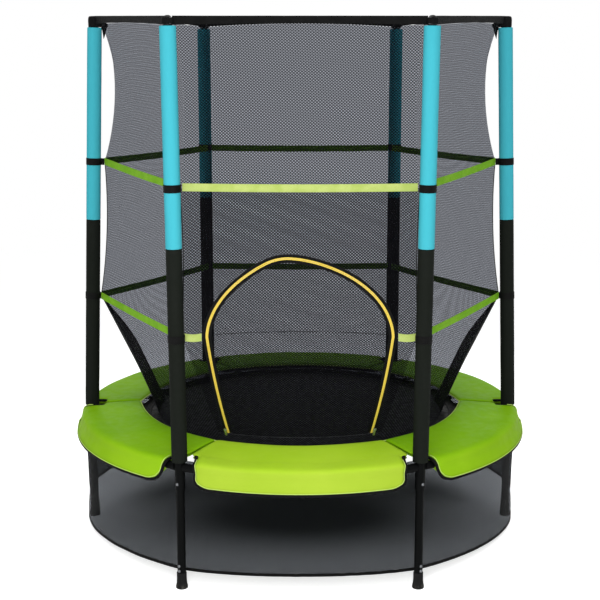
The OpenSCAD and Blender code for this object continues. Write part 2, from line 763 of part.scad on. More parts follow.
module strap_tie(k, z, inset) {
    in_r = foam_r + tie_gap;
    reach = inset - net_t / 2 - gap;
    on_pole(k) translate([0, 0, z - strap_w / 2]) difference() {
        union() {
            cylinder(r = in_r + tie_t, h = strap_w);
            if (reach > in_r + tie_t) translate([-reach, -3, 0]) cube([reach - in_r + 0.5, 6, strap_w]);
        }
        translate([0, 0, -1]) cylinder(r = in_r, h = strap_w + 2);
    }
}

module strap_ties() {
    color("#1a1a1a") for (k = [0 : 5]) {
        strap_tie(k, lower_strap_z(k), inset_lower);
        strap_tie(k, upper_strap_z(k), inset_upper);
    }
}

module band_side(length) {
    steps = 16;
    low = [for (i = [0 : steps]) let (x = lerp(cup_r - 3, length - cup_r + 3, i / steps))
        [x, band_low_z(2 * x / length - 1)]];
    rotate([90, 0, 0]) translate([0, 0, -band_t / 2]) linear_extrude(band_t)
        polygon(concat(low, [[length - cup_r + 3, band_top_z], [cup_r - 3, band_top_z]]));
}

module top_band() {
    function corner_at(k) = axis_r(k, pole_top_z) * dir(pole_angle(k));
    color("#161616") difference() {
        union() {
            for (k = [0 : 5]) {
                step = corner_at(k + 1) - corner_at(k);
                translate(corner_at(k)) rotate(atan2(step[1], step[0])) band_side(norm(step));
                translate(corner_at(k)) translate([0, 0, cup_low_z]) cylinder(r = cup_r, h = band_top_z - cup_low_z);
                // folded corner down to the net
                rotate(pole_angle(k)) translate([axis_r(k, pole_top_z), 0, 0]) rotate([90, 0, 0])
                    translate([0, 0, -1.5]) linear_extrude(3) polygon([
                        [-cup_r + 2, cup_low_z + 1], [-cup_r + 2, band_top_z - 1],
                        [-inset_upper - 2, pole_top_z + 2], [-inset_upper - 2, band_low_z(1) + gap]
                    ]);
            }
        }
        for (k = [0 : 5]) translate(corner_at(k)) translate([0, 0, cup_low_z - 1])
            cylinder(r = cap_neck_r + 1, h = band_top_z - cup_low_z + 2);
    }
}

// ---------- lower net ----------

// the net passes inside the front and back legs and outside the side legs, over bolts and feet
function skirt_pole_r(k, z) =
    is_side(k)
        ? ring_r + hem_t / 2 + gap + lookup(z, [
            [hem_side_z, foot_d / 2],
            [skirt_over_bolt_z, tube_r + bolt_head_h + 1],
            [skirt_on_leg_z, tube_r],
            [skirt_off_leg_z, tube_r],
            [socket_low_z, socket_r],
            [skirt_over_head_z, socket_r + bolt_head_h],
            [skirt_top_z, socket_r + bolt_head_h]
        ])
        : skirt_in_r;

// height of the hem's middle at the fraction u across bay k
function hem_z(k, u) =
    k < 3 ? hem_back_z
    : lerp(k == 3 ? hem_side_z : hem_front_z, k == 5 ? hem_side_z : hem_front_z, u);

function hem_sag(k) = k % 3 == 1 ? hem_dip : hem_dip_side;

// point of bay k's lower net at height z, from the hem's height there up
function skirt_point(k, u, z, off) =
    let (
        v = (z - hem_z(k, u)) / (skirt_top_z - hem_z(k, u)),
        end = asin(seam / ring_r),
        a = lerp(pole_angle(k) + end, pole_angle(k + 1) - end, u),
        share = u * u * (3 - 2 * u),
        r = lerp(skirt_pole_r(k, z), skirt_pole_r(k + 1, z), share) - hem_sag(k) * sin(180 * u) * (1 - v) + off
    ) [r * cos(a), r * sin(a), z];

// heights of the lower net's rows at the fraction u across bay k
function skirt_levels(k, u) =
    let (low = hem_z(k, u) + hem_w / 2 + gap)
    concat(
        [for (z = [hem_side_z + hem_w, skirt_over_bolt_z, skirt_on_leg_z]) z > low ? z : low + z / 100],
        [skirt_off_leg_z, socket_low_z, skirt_over_head_z, skirt_top_z]
    );

module skirt_bay(k) {
    steps = [for (i = [0 : skirt_cols]) i / skirt_cols];
    function column(u, off) =
        concat([skirt_point(k, u, hem_z(k, u) + hem_w / 2 + gap, off)],
               [for (z = skirt_levels(k, u)) skirt_point(k, u, z, off)]);
    slab([for (u = steps) column(u, skirt_t / 2)], [for (u = steps) column(u, -skirt_t / 2)]);
}

module skirt() {
    color("#4a4b50") for (k = [0 : 5]) skirt_bay(k);
}

module skirt_hem() {
    steps = [for (i = [0 : skirt_cols]) i / skirt_cols];
    color("#121212") for (k = [0 : 5])
        slab([for (u = steps) [for (s = [-0.5, 0.5]) skirt_point(k, u, hem_z(k, u) + s * hem_w, hem_t / 2)]],
             [for (u = steps) [for (s = [-0.5, 0.5]) skirt_point(k, u, hem_z(k, u) + s * hem_w, -hem_t / 2)]]);
}

frame_tube(0);  // frame_tube_1
frame_tube(1);  // frame_tube_2
frame_tube(2);  // frame_tube_3
frame_tube(3);  // frame_tube_4
frame_tube(4);  // frame_tube_5
frame_tube(5);  // frame_tube_6
leg_socket(0);  // leg_socket_1
leg_socket(1);  // leg_socket_2
leg_socket(2);  // leg_socket_3
leg_socket(3);  // leg_socket_4
leg_socket(4);  // leg_socket_5
leg_socket(5);  // leg_socket_6
leg(0);  // leg_1
leg(1);  // leg_2
leg(2);  // leg_3
leg(3);  // leg_4
leg(4);  // leg_5
leg(5);  // leg_6
lower_pole(0);  // lower_pole_1
lower_pole(1);  // lower_pole_2
lower_pole(2);  // lower_pole_3
lower_pole(3);  // lower_pole_4
lower_pole(4);  // lower_pole_5
lower_pole(5);  // lower_pole_6
upper_pole(0);  // upper_pole_1
upper_pole(1);  // upper_pole_2
upper_pole(2);  // upper_pole_3
upper_pole(3);  // upper_pole_4
upper_pole(4);  // upper_pole_5
upper_pole(5);  // upper_pole_6
rubber_feet();
frame_bolts();
lower_foam_sleeves();
upper_foam_sleeves();
pole_caps();
mat();
mat_edge_band();
mat_rings();
springs();
pad_panel(0);  // pad_panel_1
pad_panel(1);  // pad_panel_2
pad_panel(2);  // pad_panel_3
pad_panel(3);  // pad_panel_4
pad_panel(4);  // pad_panel_5
pad_panel(5);  // pad_panel_6
net_top_tier();
net_middle_tier();
net_lower_tier();
net_front();
net_door();
zip_outer_half();
zip_inner_half();
zip_slider_left();
zip_slider_right();
top_band();
net_webbing();
strap_ties();
skirt();
skirt_hem();
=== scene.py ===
import math

import bmesh
import bpy
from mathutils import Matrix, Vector, noise


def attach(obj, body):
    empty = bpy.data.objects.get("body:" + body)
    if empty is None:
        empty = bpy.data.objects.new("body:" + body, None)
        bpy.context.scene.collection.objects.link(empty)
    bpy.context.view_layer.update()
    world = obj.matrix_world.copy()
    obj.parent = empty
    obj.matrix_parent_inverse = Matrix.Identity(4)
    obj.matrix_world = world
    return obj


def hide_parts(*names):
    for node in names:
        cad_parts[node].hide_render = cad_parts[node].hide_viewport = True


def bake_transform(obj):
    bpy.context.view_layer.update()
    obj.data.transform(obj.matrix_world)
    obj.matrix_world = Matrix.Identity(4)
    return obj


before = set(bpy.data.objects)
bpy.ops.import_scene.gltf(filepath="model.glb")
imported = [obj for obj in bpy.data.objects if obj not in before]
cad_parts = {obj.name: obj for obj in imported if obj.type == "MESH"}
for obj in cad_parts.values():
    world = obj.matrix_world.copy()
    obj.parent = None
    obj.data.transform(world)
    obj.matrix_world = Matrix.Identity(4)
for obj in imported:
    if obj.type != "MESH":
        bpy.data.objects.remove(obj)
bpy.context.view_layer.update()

# ---------- sizes, in metres ----------

RING_R = 0.6875
RING_Z = 0.3685
BEND_Z = 0.3455  # where the poles start to lean
LEAN = [math.radians(a) for a in (2.1, 0, 0, 2.1, -0.8, -0.8)]  # inward lean of each pole
POLE_TOP_Z = 1.604
FOAM_R = 0.0228
BAND_TOP_Z = 1.624
MAT_R = 0.52
MAT_TOP_Z = 0.370
SPRINGS = 36
SPRING_STEP = 360 // SPRINGS
LOWER_Z = (0.752, 0.748, 0.748, 0.752, 0.744, 0.744)  # the straps' middles at each pole
UPPER_Z = (1.186, 1.182, 1.182, 1.186, 1.167, 1.167)
LOWER_INSET, UPPER_INSET = 0.027, 0.035  # from a pole's axis to the net
NET_LOW_R = 0.460
NET_LOW_Z = 0.3703
NET_EDGE = 0.9997  # how far across its bay the net goes
FRONT = 4
BAYS = POLES = range(6)  # pole k stands at 60 k degrees, and bay k is between poles k and k + 1


def mix(a, b, t):
    return a + (b - a) * t


def smooth(t):
    t = min(1, max(0, t))
    return t * t * (3 - 2 * t)


def steps(count, a=0.0, b=1.0):
    """Evenly spaced values from a to b."""
    return [mix(a, b, i / count) for i in range(count + 1)]


def around(sides):
    return [2 * math.pi * j / sides for j in range(sides)]


def uneven(x, y, z):
    return noise.noise(Vector((x, y, z)))


def heading(degrees):
    a = math.radians(degrees)
    return Vector((math.cos(a), math.sin(a), 0))


def polar(r, a, z):
    return Vector((r * math.cos(a), r * math.sin(a), z))


def up(z):
    return Vector((0, 0, z))


def is_side(k):
    """The poles at the left and right ends."""
    return k % 3 == 0


def axis_r(k, z):
    """Radius of pole k's axis at height z."""
    return RING_R - max(0, z - BEND_Z) * math.tan(LEAN[k % 6])


def on_pole(k, x, y, z):
    """A point given along pole k's own axis, x outward."""
    lean = LEAN[k % 6]
    dz = z - BEND_Z
    out = RING_R + x * math.cos(lean) - dz * math.sin(lean)
    z = BEND_Z + x * math.sin(lean) + dz * math.cos(lean)
    return heading(60 * k) * out + heading(60 * k + 90) * y + up(z)


def new_object(name, data):
    made = bpy.data.objects.new(name, data)
    bpy.context.collection.objects.link(made)
    return made


# ---------- camera ----------

camera = new_object("camera", bpy.data.cameras.new("camera"))
camera.location = (0, -4.1501, 1.5664)
camera.rotation_euler = (math.radians(78.67), 0, 0)
camera.data.sensor_width = 36
camera.data.lens = 78.08
bpy.context.scene.camera = camera
bpy.context.scene.view_settings.view_transform = "Standard"

# ---------- node helpers ----------


def rgb(r, g, b):
    """Linear colour from the 0 to 255 values seen on a screen."""
    def linear(c):
        c /= 255
        return c / 12.92 if c <= 0.04045 else ((c + 0.055) / 1.055) ** 2.4
    return (linear(r), linear(g), linear(b), 1)


class Nodes:
    """Short calls that add nodes to a tree and link them."""

    def __init__(self, tree):
        self.tree = tree

    def feed(self, socket, value):
        if isinstance(value, bpy.types.NodeSocket):
            self.tree.links.new(value, socket)
        elif value is not None:
            socket.default_value = value

    def node(self, kind, *inputs, out=0, **props):
        made = self.tree.nodes.new("ShaderNode" + kind)
        for key, value in props.items():
            setattr(made, key, value)
        for i, value in enumerate(inputs):
            self.feed(made.inputs[i], value)
        return made.outputs[out]

    def math(self, operation, a, b=0.0, c=0.0):
        return self.node("Math", a, b, c, operation=operation)

    def coordinates(self, kind="Object"):
        return self.node("TexCoord", out=["Generated", "Normal", "UV", "Object"].index(kind))

    def axes(self, kind="Object"):
        split = self.tree.nodes.new("ShaderNodeSeparateXYZ")
        self.tree.links.new(self.coordinates(kind), split.inputs[0])
        return split.outputs

    def noise(self, scale, detail):
        return self.node("TexNoise", self.coordinates(), None, scale, detail, 0.5)

    def cells(self, scale, out=0):
        return self.node("TexVoronoi", self.coordinates(), None, scale, out=out)

    def ramp(self, value, low, high, low_out=0.0, high_out=1.0):
        return self.node("MapRange", value, low, high, low_out, high_out, interpolation_type="SMOOTHSTEP")

    def patches(self, scale, detail, low_out=0.0, high_out=1.0):
        """Noise with its middle spread out between two values."""
        return self.ramp(self.noise(scale, detail), 0.3, 0.7, low_out, high_out)

    def seen_directly(self):
        """1 for rays from the camera, in reflections and through glass."""
        path = self.tree.nodes.new("ShaderNodeLightPath").outputs
        total = path["Is Camera Ray"]
        for name in ("Is Glossy Ray", "Is Transmission Ray"):
            total = self.math("MAXIMUM", total, path[name])
        return total


class Material(Nodes):
    """A procedural material that is built from a few chained nodes."""

    def __init__(self, name, roughness, metallic=0.0, specular=0.5):
        self.data = bpy.data.materials.new(name)
        self.data.use_nodes = True
        super().__init__(self.data.node_tree)
        self.shader = self.tree.nodes["Principled BSDF"]
        self.output = self.tree.nodes["Material Output"]
        self.shader.inputs["Roughness"].default_value = roughness
        self.shader.inputs["Metallic"].default_value = metallic
        self.shader.inputs["Specular IOR Level"].default_value = specular
        self.height = None

    def blend(self, factor, a, b):
        made = self.tree.nodes.new("ShaderNodeMix")
        made.data_type = "RGBA"
        for i, value in ((0, factor), (6, a), (7, b)):
            self.feed(made.inputs[i], value)
        return made.outputs[2]

    def color(self, value):
        self.tree.links.new(value, self.shader.inputs["Base Color"])

    def rough(self, scale, detail, low, high):
        self.tree.links.new(self.patches(scale, detail, low, high), self.shader.inputs["Roughness"])

    def bump(self, height, distance, strength):
        made = self.tree.nodes.new("ShaderNodeBump")
        self.feed(made.inputs["Distance"], distance)
        self.feed(made.inputs["Strength"], strength)
        self.feed(made.inputs["Height"], height)
        self.feed(made.inputs["Normal"], self.height)
        self.height = made.outputs[0]
        self.tree.links.new(self.height, self.shader.inputs["Normal"])

    def cosine(self, value, period):
        return self.math("COSINE", self.math("MULTIPLY", value, 2 * math.pi / period))

    def weave(self, period_u, period_v, kind="UV"):
        """Plain weave: 0 to 1, high on the crowns of the yarns."""
        u, v = self.axes(kind)[:2]
        crown = self.math("MULTIPLY", self.cosine(u, period_u), self.cosine(v, period_v))
        return self.ramp(crown, -1, 1)

    def lattice(self, width, height, open_above, soft):
        """Diamond mesh: 1 on the yarns and 0 in the holes."""
        u, v = self.axes("UV")[:2]
        hole = self.math("MULTIPLY", self.cosine(u, width), self.cosine(v, height))
        return self.ramp(hole, open_above - soft, open_above + soft, 1, 0)

    def see_through(self, cover, tint):
        """Bare where cover is 0, tinted by the fibres that stray across the holes."""
        clear = self.node("BsdfTransparent", tint)
        both = self.node("MixShader", cover, clear, self.shader.outputs[0])
        self.tree.links.new(both, self.output.inputs[0])


def plain(name, gloss, mottle, rough, grain, low, high):
    """Mottled colour between low and high, uneven roughness and a fine grain."""
    m = Material(name, *gloss)
    m.color(m.blend(m.noise(*mottle), low, high))
    m.rough(*rough)
    m.bump(m.noise(grain[0], 2), *grain[1:])
    return m.data


def rubber():
    m = Material("rubber_black", 0.78, specular=0.12)
    dust = m.math("MULTIPLY", m.ramp(m.axes()[2], 0.0, 0.02, 1, 0), m.ramp(m.noise(120, 5), 0.42, 0.7))
    m.color(m.blend(dust, m.blend(m.noise(30, 3), rgb(15, 15, 15), rgb(25, 25, 25)), rgb(74, 72, 68)))
    m.rough(70, 4, 0.68, 0.88)
    m.bump(m.noise(1100, 2), 0.0002, 0.6)
    return m.data


def zinc():
    m = Material("zinc_bright", 0.32, metallic=1.0)
    m.color(m.blend(m.noise(60, 4), rgb(176, 180, 186), rgb(214, 217, 221)))
    m.rough(240, 4, 0.22, 0.44)
    m.bump(m.node("RGBToBW", m.cells(420, out=1)), 0.00005, 0.4)
    return m.data


def foam(name, low, high, tint):
    m = Material(name, 0.72, specular=0.04)
    drawn_out = m.node("Mapping", m.coordinates(), None, None, (1, 1, 0.08))
    streaks = m.node("TexNoise", drawn_out, None, 60, 3, 0.5)
    m.color(m.blend(m.ramp(m.noise(9, 4), 0.35, 0.65), m.blend(streaks, low, high), tint))
    m.rough(80, 4, 0.64, 0.8)
    m.bump(m.noise(26, 3), 0.0012, 0.25)
    m.bump(m.cells(900), 0.0002, 0.3)
    return m.data


def mat_weave():
    m = Material("mat_weave_black", 0.6, specular=0.05)
    ribs = m.weave(0.0042, 0.0042, "Object")
    worn = m.math("MULTIPLY", ribs, m.math("ADD", m.patches(5, 4), 0.4))
    m.color(m.blend(worn, rgb(4, 5, 4), rgb(10, 11, 10)))
    m.rough(60, 4, 0.48, 0.7)
    m.bump(ribs, 0.0004, 0.35)
    return m.data


def webbing(name, low, high):
    """Woven strap: U across it, V along it."""
    m = Material(name, 0.66, specular=0.06)
    weave = m.weave(0.0025, 0.0025 * 0.7)
    m.color(m.blend(m.math("MULTIPLY", weave, m.math("ADD", m.patches(30, 4), 0.35)), low, high))
    m.rough(150, 3, 0.58, 0.76)
    m.bump(weave, 0.0004, 0.8)
    return m.data


def pad_vinyl(name, low, high, top_low, top_high):
    """The flap's shades and the top's, with painted light and shade that set the top apart from the flap."""
    m = Material(name, 0.55, specular=0.02)
    cloud = m.patches(4, 4)
    # from about 0.39 m up, the top's shades paint the light that falls on the top
    painted_top_light = m.ramp(m.axes()[2], 0.378, 0.402)
    m.color(m.blend(painted_top_light, m.blend(cloud, low, high), m.blend(cloud, top_low, top_high)))
    m.rough(40, 5, 0.44, 0.6)
    m.bump(m.noise(22, 4), 0.0022, 0.5)
    m.bump(m.cells(520), 0.00025, 0.4)
    return m.data


def binding(name, low, high):
    m = Material(name, 0.7, specular=0.06)
    ribs = m.weave(0.0022, 0.0018, "Object")
    m.color(m.blend(ribs, low, high))
    m.rough(140, 3, 0.62, 0.8)
    m.bump(ribs, 0.0003, 0.7)
    return m.data


def net(name, low, high, pitch, open_above, soft, thin=0.0, thick=1.0, tint=(0.91, 0.93, 0.98, 1)):
    """thin and thick are how much the fibres cover in a hole and on a yarn."""
    m = Material(name, 0.7, specular=0.02)
    cover = m.math("MULTIPLY_ADD", m.lattice(*pitch, open_above, soft), thick - thin, thin)
    m.color(m.blend(m.noise(300, 3), low, high))
    m.rough(90, 3, 0.6, 0.8)
    m.bump(cover, 0.0003, 0.5)
    m.see_through(cover, tint)
    return m.data


def zip_tape(name, low, high):
    m = Material(name, 0.58, specular=0.35)
    ribs = m.weave(0.0016, 0.0022)
    m.color(m.blend(ribs, low, high))
    m.rough(160, 3, 0.5, 0.68)
    m.bump(ribs, 0.0003, 0.8)
    return m.data


BLACK = plain("powder_coat_black", (0.5, 0, 0.04), (14, 4), (45, 4, 0.42, 0.58), (900, 0.00006, 0.3),
              rgb(4, 5, 5), rgb(9, 10, 10))
RUBBER = rubber()
ZINC = zinc()
BOLT = plain("bolt_steel_dull", (0.5, 0.9), (200, 4), (240, 4, 0.42, 0.6), (1500, 0.00005, 0.4),
             rgb(84, 86, 88), rgb(122, 124, 127))
FOAM_BLACK = foam("foam_black", rgb(19, 22, 19), rgb(28, 31, 27), rgb(23, 26, 22))
FOAM_TEAL = foam("foam_teal", rgb(60, 166, 182), rgb(72, 180, 195), rgb(66, 174, 189))
CAP = plain("cap_plastic_black", (0.45, 0, 0.2), (30, 3), (120, 3, 0.36, 0.55), (1300, 0.0001, 0.5),
            rgb(12, 12, 12), rgb(20, 20, 20))
MAT = mat_weave()
WEB_BLACK = webbing("webbing_black", rgb(9, 9, 9), rgb(21, 21, 21))
WEB_GREEN = webbing("webbing_green", rgb(108, 166, 28), rgb(138, 190, 50))
# the green webbing painted lighter, as lit from the front, for the front bay's straps
WEB_PAINTED_LIT = webbing("webbing_green_painted_lit", rgb(164, 184, 88), rgb(194, 208, 128))
# the top_low and top_high shades are painted light and shade on the pads' tops
VINYL = pad_vinyl("pad_vinyl_green", rgb(133, 180, 24), rgb(144, 189, 31), rgb(119, 176, 8), rgb(130, 186, 14))
# the front panel's copy of the pad vinyl, painted lighter as lit from the front
VINYL_PAINTED_LIT = pad_vinyl("pad_vinyl_painted_lit", rgb(154, 184, 48), rgb(165, 192, 58), rgb(170, 215, 38),
                        rgb(181, 223, 48))
BIND_BLACK = binding("binding_black", rgb(9, 9, 9), rgb(20, 20, 20))
PIPING = binding("piping_light", rgb(176, 208, 86), rgb(206, 230, 130))
THREAD = binding("thread_grey", rgb(52, 52, 55), rgb(84, 84, 88))
NET_SHADES = rgb(6, 6, 8), rgb(12, 12, 15)
MESH = 0.0090, 0.0080  # width and height of two holes of the net
NET = net("net_black", *NET_SHADES, MESH, 0.06, 0.6, 0.17, 0.88)
NET_BACK = net("net_back_black", *NET_SHADES, MESH, 0.06, 0.6, 0.36, 0.75)
NET_FRONT = net("net_door_black", *NET_SHADES, MESH, 0.20, 0.6, 0.36, 0.94)
NET_DOUBLED = net("net_doubled", rgb(5, 5, 7), rgb(11, 11, 13), MESH, 0.80, 0.15, 0.7)
SKIRT = net("skirt_mesh_black", rgb(7, 8, 9), rgb(12, 14, 15), (0.0036, 0.0036), 0.69, 0.14,
            tint=(0.88, 0.93, 1, 1))
YELLOW = zip_tape("zip_yellow", rgb(216, 186, 62), rgb(244, 218, 96))

CAD_LOOK = {
    "frame_tube_": BLACK, "leg_socket_": BLACK, "leg_": BLACK, "lower_pole_": BLACK, "upper_pole_": BLACK,
    "rubber_feet": RUBBER, "frame_bolts": BOLT, "pole_caps": CAP, "mat_rings": BLACK, "zip_slider_": ZINC,
}
for name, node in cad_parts.items():
    for prefix, look in CAD_LOOK.items():
        if name.startswith(prefix):
            for place in node.material_slots:
                place.material = look

# ---------- mesh helpers ----------


def loft(rings, closed=True, caps=True, cyclic=False):
    """Quads from ring to ring, with UVs in metres: U along a ring, V from ring to ring."""
    n = len(rings[0])
    cols = n if closed else n - 1
    verts = [p for ring in rings for p in ring]
    across = []
    for ring in rings:
        marks = [0.0]
        for j in range(cols):
            marks.append(marks[-1] + (ring[(j + 1) % n] - ring[j]).length)
        across.append(marks)
    along = [0.0]
    spans = len(rings) if cyclic else len(rings) - 1
    for i in range(spans):
        a, b = rings[i], rings[(i + 1) % len(rings)]
        along.append(along[-1] + (b[0] - a[0]).length)
    faces, uvs = [], []
    for i in range(spans):
        h = (i + 1) % len(rings)
        for j in range(cols):
            k = (j + 1) % n
            faces.append((i * n + j, i * n + k, h * n + k, h * n + j))
            uvs += [(across[i][j], along[i]), (across[i][j + 1], along[i]),
                    (across[h][j + 1], along[i + 1]), (across[h][j], along[i + 1])]
    if caps and closed and not cyclic:
        faces.append(tuple(reversed(range(n))))
        faces.append(tuple(range((len(rings) - 1) * n, len(rings) * n)))
        uvs += [(0.0, 0.0)] * (2 * n)
    return verts, faces, uvs


def join(parts):
    verts, faces, uvs = [], [], []
    for v, f, t in parts:
        faces += [tuple(i + len(verts) for i in face) for face in f]
        verts += v
        uvs += t
    return verts, faces, uvs


def make(name, shape, materials, body="root", node=None, sharp=35, pick=None):
    """A new piece. pick gives the index of a face's material."""
    verts, faces, uvs = shape
    mesh = bpy.data.meshes.new(name)
    mesh.from_pydata(verts, [], faces)
    layer = mesh.uv_layers.new(name="UVMap")
    for loop, uv in zip(layer.data, uvs):
        loop.uv = uv
    for m in materials if isinstance(materials, list) else [materials]:
        mesh.materials.append(m)
    mesh.shade_smooth()
    mesh.set_sharp_from_angle(angle=math.radians(sharp))
    if pick:
        for poly in mesh.polygons:
            poly.material_index = pick(poly)
    mesh.validate()
    piece = new_object(name, mesh)
    if body:
        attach(piece, body)
    if node:
        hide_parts(node)
    return piece


def outward(piece):
    """Turns a closed piece's faces outward."""
    bm = bmesh.new()
    bm.from_mesh(piece.data)
    bmesh.ops.recalc_face_normals(bm, faces=bm.faces)
    bm.to_mesh(piece.data)
    bm.free()
    return piece


def tube(path, radius, sides):
    """A round cord along a path of points."""
    rings = []
    side = up(1)
    for i, p in enumerate(path):
        t = (path[min(len(path) - 1, i + 1)] - path[max(0, i - 1)]).normalized()
        side -= t * side.dot(t)
        side = side.normalized() if side.length > 1e-6 else t.orthogonal().normalized()
        other = t.cross(side)
        rings.append([p + (side * math.cos(c) + other * math.sin(c)) * radius for c in around(sides)])
    return loft(rings)


def seam(name, path, radius, sides, body="root"):
    make(name, tube(path, radius, sides), BIND_BLACK, body, None, sharp=80)


def with_uvs(shape, flat):
    """The shape with the UVs given for each of its points."""
    verts, faces, _ = shape
    return verts, faces, [flat[i] for face in faces for i in face]


# ---------- foam sleeves ----------

FOAM_FOOT_Z, FOAM_JOINT_Z, FOAM_TOP_Z = 0.3843, 1.0, 1.6023
FOAM_GAP = 0.00015  # half the gap between the two sleeves


def foam_sleeve(k, z0, z1, seed):
    """A foam tube with a closed slit on its inner side and rounded ends."""
    sides, bore = 56, 0.0128
    end = [(bore, 0), (0.0180, -0.0002), (FOAM_R - 0.0014, 0.0002), (FOAM_R - 0.0003, 0.0010), (FOAM_R, 0.0026)]
    levels = [(r, z0 + dz) for r, dz in end]
    levels += [(FOAM_R, z) for z in steps(int((z1 - z0) / 0.022), z0 + 0.006, z1 - 0.006)]
    levels += [(r, z1 - dz) for r, dz in reversed(end)]
    rings = []
    for r, z in levels:
        ring = []
        for j, a in enumerate(around(sides)):
            slit = 0.0011 if j == sides // 2 else 0.0002 if abs(j - sides // 2) == 1 else 0
            lump = uneven(math.cos(a) * 0.9, math.sin(a) * 0.9, z * 9 + seed) * 0.0005
            rr = r - slit - abs(lump) if r > 0.02 else r
            ring.append(on_pole(k, rr * math.cos(a), rr * math.sin(a), z))
        rings.append(ring)
    return loft(rings, cyclic=True)


for k in POLES:
    top = BEND_Z + (FOAM_TOP_Z - BEND_Z) / math.cos(LEAN[k])
    for name, z0, z1, seed, look, finish in (
            ("lower", FOAM_FOOT_Z, FOAM_JOINT_Z - FOAM_GAP, 0, FOAM_BLACK, "foam_black"),
            ("upper", FOAM_JOINT_Z + FOAM_GAP, top, 9, FOAM_TEAL, "foam_teal")):
        sleeve = make(f"foam_{name}_{k + 1}", foam_sleeve(k, z0, z1, 3.1 * k + seed), look,
                      node=f"{name}_foam_sleeves")
        outward(sleeve)

# ---------- jumping mat ----------


def mat_height(r, a):
    """Gentle pull lines towards the springs."""
    pull = math.cos(SPRINGS * a) * smooth((r - 0.40) / 0.12)
    return 0.0003 * pull + 0.0004 * uneven(math.cos(a) * r * 6, math.sin(a) * r * 6, 0.4)


def disc(radii, z, sides, bottom):
    """A closed round sheet between z and bottom."""
    verts, faces, uvs = [Vector((0, 0, z))], [], []
    for r in radii:
        verts += [polar(r, a, z + mat_height(r, a)) for a in around(sides)]
    for j in range(sides):
        faces.append((0, 1 + j, 1 + (j + 1) % sides))
    for i in range(len(radii) - 1):
        for j in range(sides):
            k = (j + 1) % sides
            a, b = 1 + i * sides, 1 + (i + 1) * sides
            faces.append((a + j, b + j, b + k, a + k))
    top = len(verts)
    rim = 1 + (len(radii) - 1) * sides
    verts += [polar(radii[-1], a, bottom) for a in around(sides)]
    for j in range(sides):
        k = (j + 1) % sides
        faces.append((rim + j, top + j, top + k, rim + k))
    faces.append(tuple(reversed(range(top, top + sides))))
    for face in faces:
        uvs += [(verts[i].x, verts[i].y) for i in face]
    return verts, faces, uvs


MAT_SIDES = 216
MAT_UNDER_Z = 0.3675
mat_radii = [0.01, 0.05, 0.10, 0.15, 0.20, 0.25, 0.30, 0.34, 0.38, 0.41, 0.44, 0.46, 0.48, 0.50, 0.512, MAT_R]
jump_mat = make("jump_mat", disc(mat_radii, MAT_TOP_Z - 0.0006, MAT_SIDES, MAT_UNDER_Z), MAT, "mat", "mat")


def edge_ring():
    """The round band on the mat's edge, from a closed profile of radius and height."""
    profile = [
        (0.4870, 0.3699), (0.4873, 0.3712), (0.4885, 0.3718), (0.4930, 0.3719), (0.5000, 0.3722), (0.5080, 0.3722),
        (0.5150, 0.3719), (0.5196, 0.3716), (0.5208, 0.3706), (0.5209, 0.3699),
    ]
    return loft([[polar(r, a, z + 0.4 * mat_height(MAT_R, a)) for r, z in profile] for a in around(MAT_SIDES)],
                cyclic=True)


def mat_loop(a):
    """Webbing that is folded round one steel link and sewn under the mat's edge."""
    out, side = heading(a), heading(a + 90)
    line = [(0.5085, 0.3716), (0.5150, 0.3718), (0.5205, 0.3717), (0.5250, 0.3712), (0.5290, 0.3703),
            (0.5316, 0.3692), (0.5322, 0.3680), (0.5308, 0.3664), (0.5270, 0.3656), (0.5225, 0.3657),
            (0.5206, 0.3660)]
    thick = 0.0011
    rings = []
    for i, (r, z) in enumerate(line):
        r0, z0 = line[max(0, i - 1)]
        r1, z1 = line[min(len(line) - 1, i + 1)]
        t = Vector((r1 - r0, z1 - z0, 0)).normalized()
        n = Vector((-t.y, t.x, 0))
        ring = []
        for y, h in ((-0.0098, 0.5), (-0.0092, 1), (0.0092, 1), (0.0098, 0.5), (0.0092, 0), (-0.0092, 0)):
            ring.append(out * (r + n.x * h * thick) + side * y + up(z + n.y * h * thick))
        rings.append(ring)
    return loft(rings)


edge_parts = [edge_ring()] + [mat_loop(SPRING_STEP * (i + 0.5)) for i in range(SPRINGS)]
edge_band = make("mat_edge_webbing", join(edge_parts), WEB_BLACK, "mat", "mat_edge_band")
outward(edge_band)


def stitches(points, length, space, radius):
    """Short sewn stitches that lie flat along a path of points."""
    parts = []
    marks = [0.0]
    for a, b in zip(points, points[1:]):
        marks.append(marks[-1] + (b - a).length)

    def at(d):
        i = 0
        while i < len(marks) - 2 and marks[i + 1] < d:
            i += 1
        return points[i].lerp(points[i + 1], (d - marks[i]) / (marks[i + 1] - marks[i]))

    d = space
    sunk, proud = up(-0.5 * radius), up(0.6 * radius)
    while d + length < marks[-1]:
        a, b = at(d), at(d + length)
        parts.append(tube([a + sunk, a.lerp(b, 0.2) + proud, a.lerp(b, 0.8) + proud, b + sunk], radius, 5))
        d += length + space
    return join(parts)


rows = [[polar(r, a, 0.3722) for a in around(360) + [2 * math.pi]] for r in (0.4915, 0.5135)]
make("mat_stitches", join([stitches(row, 0.006, 0.0022, 0.0004) for row in rows]), THREAD, "mat", None)

# ---------- springs ----------


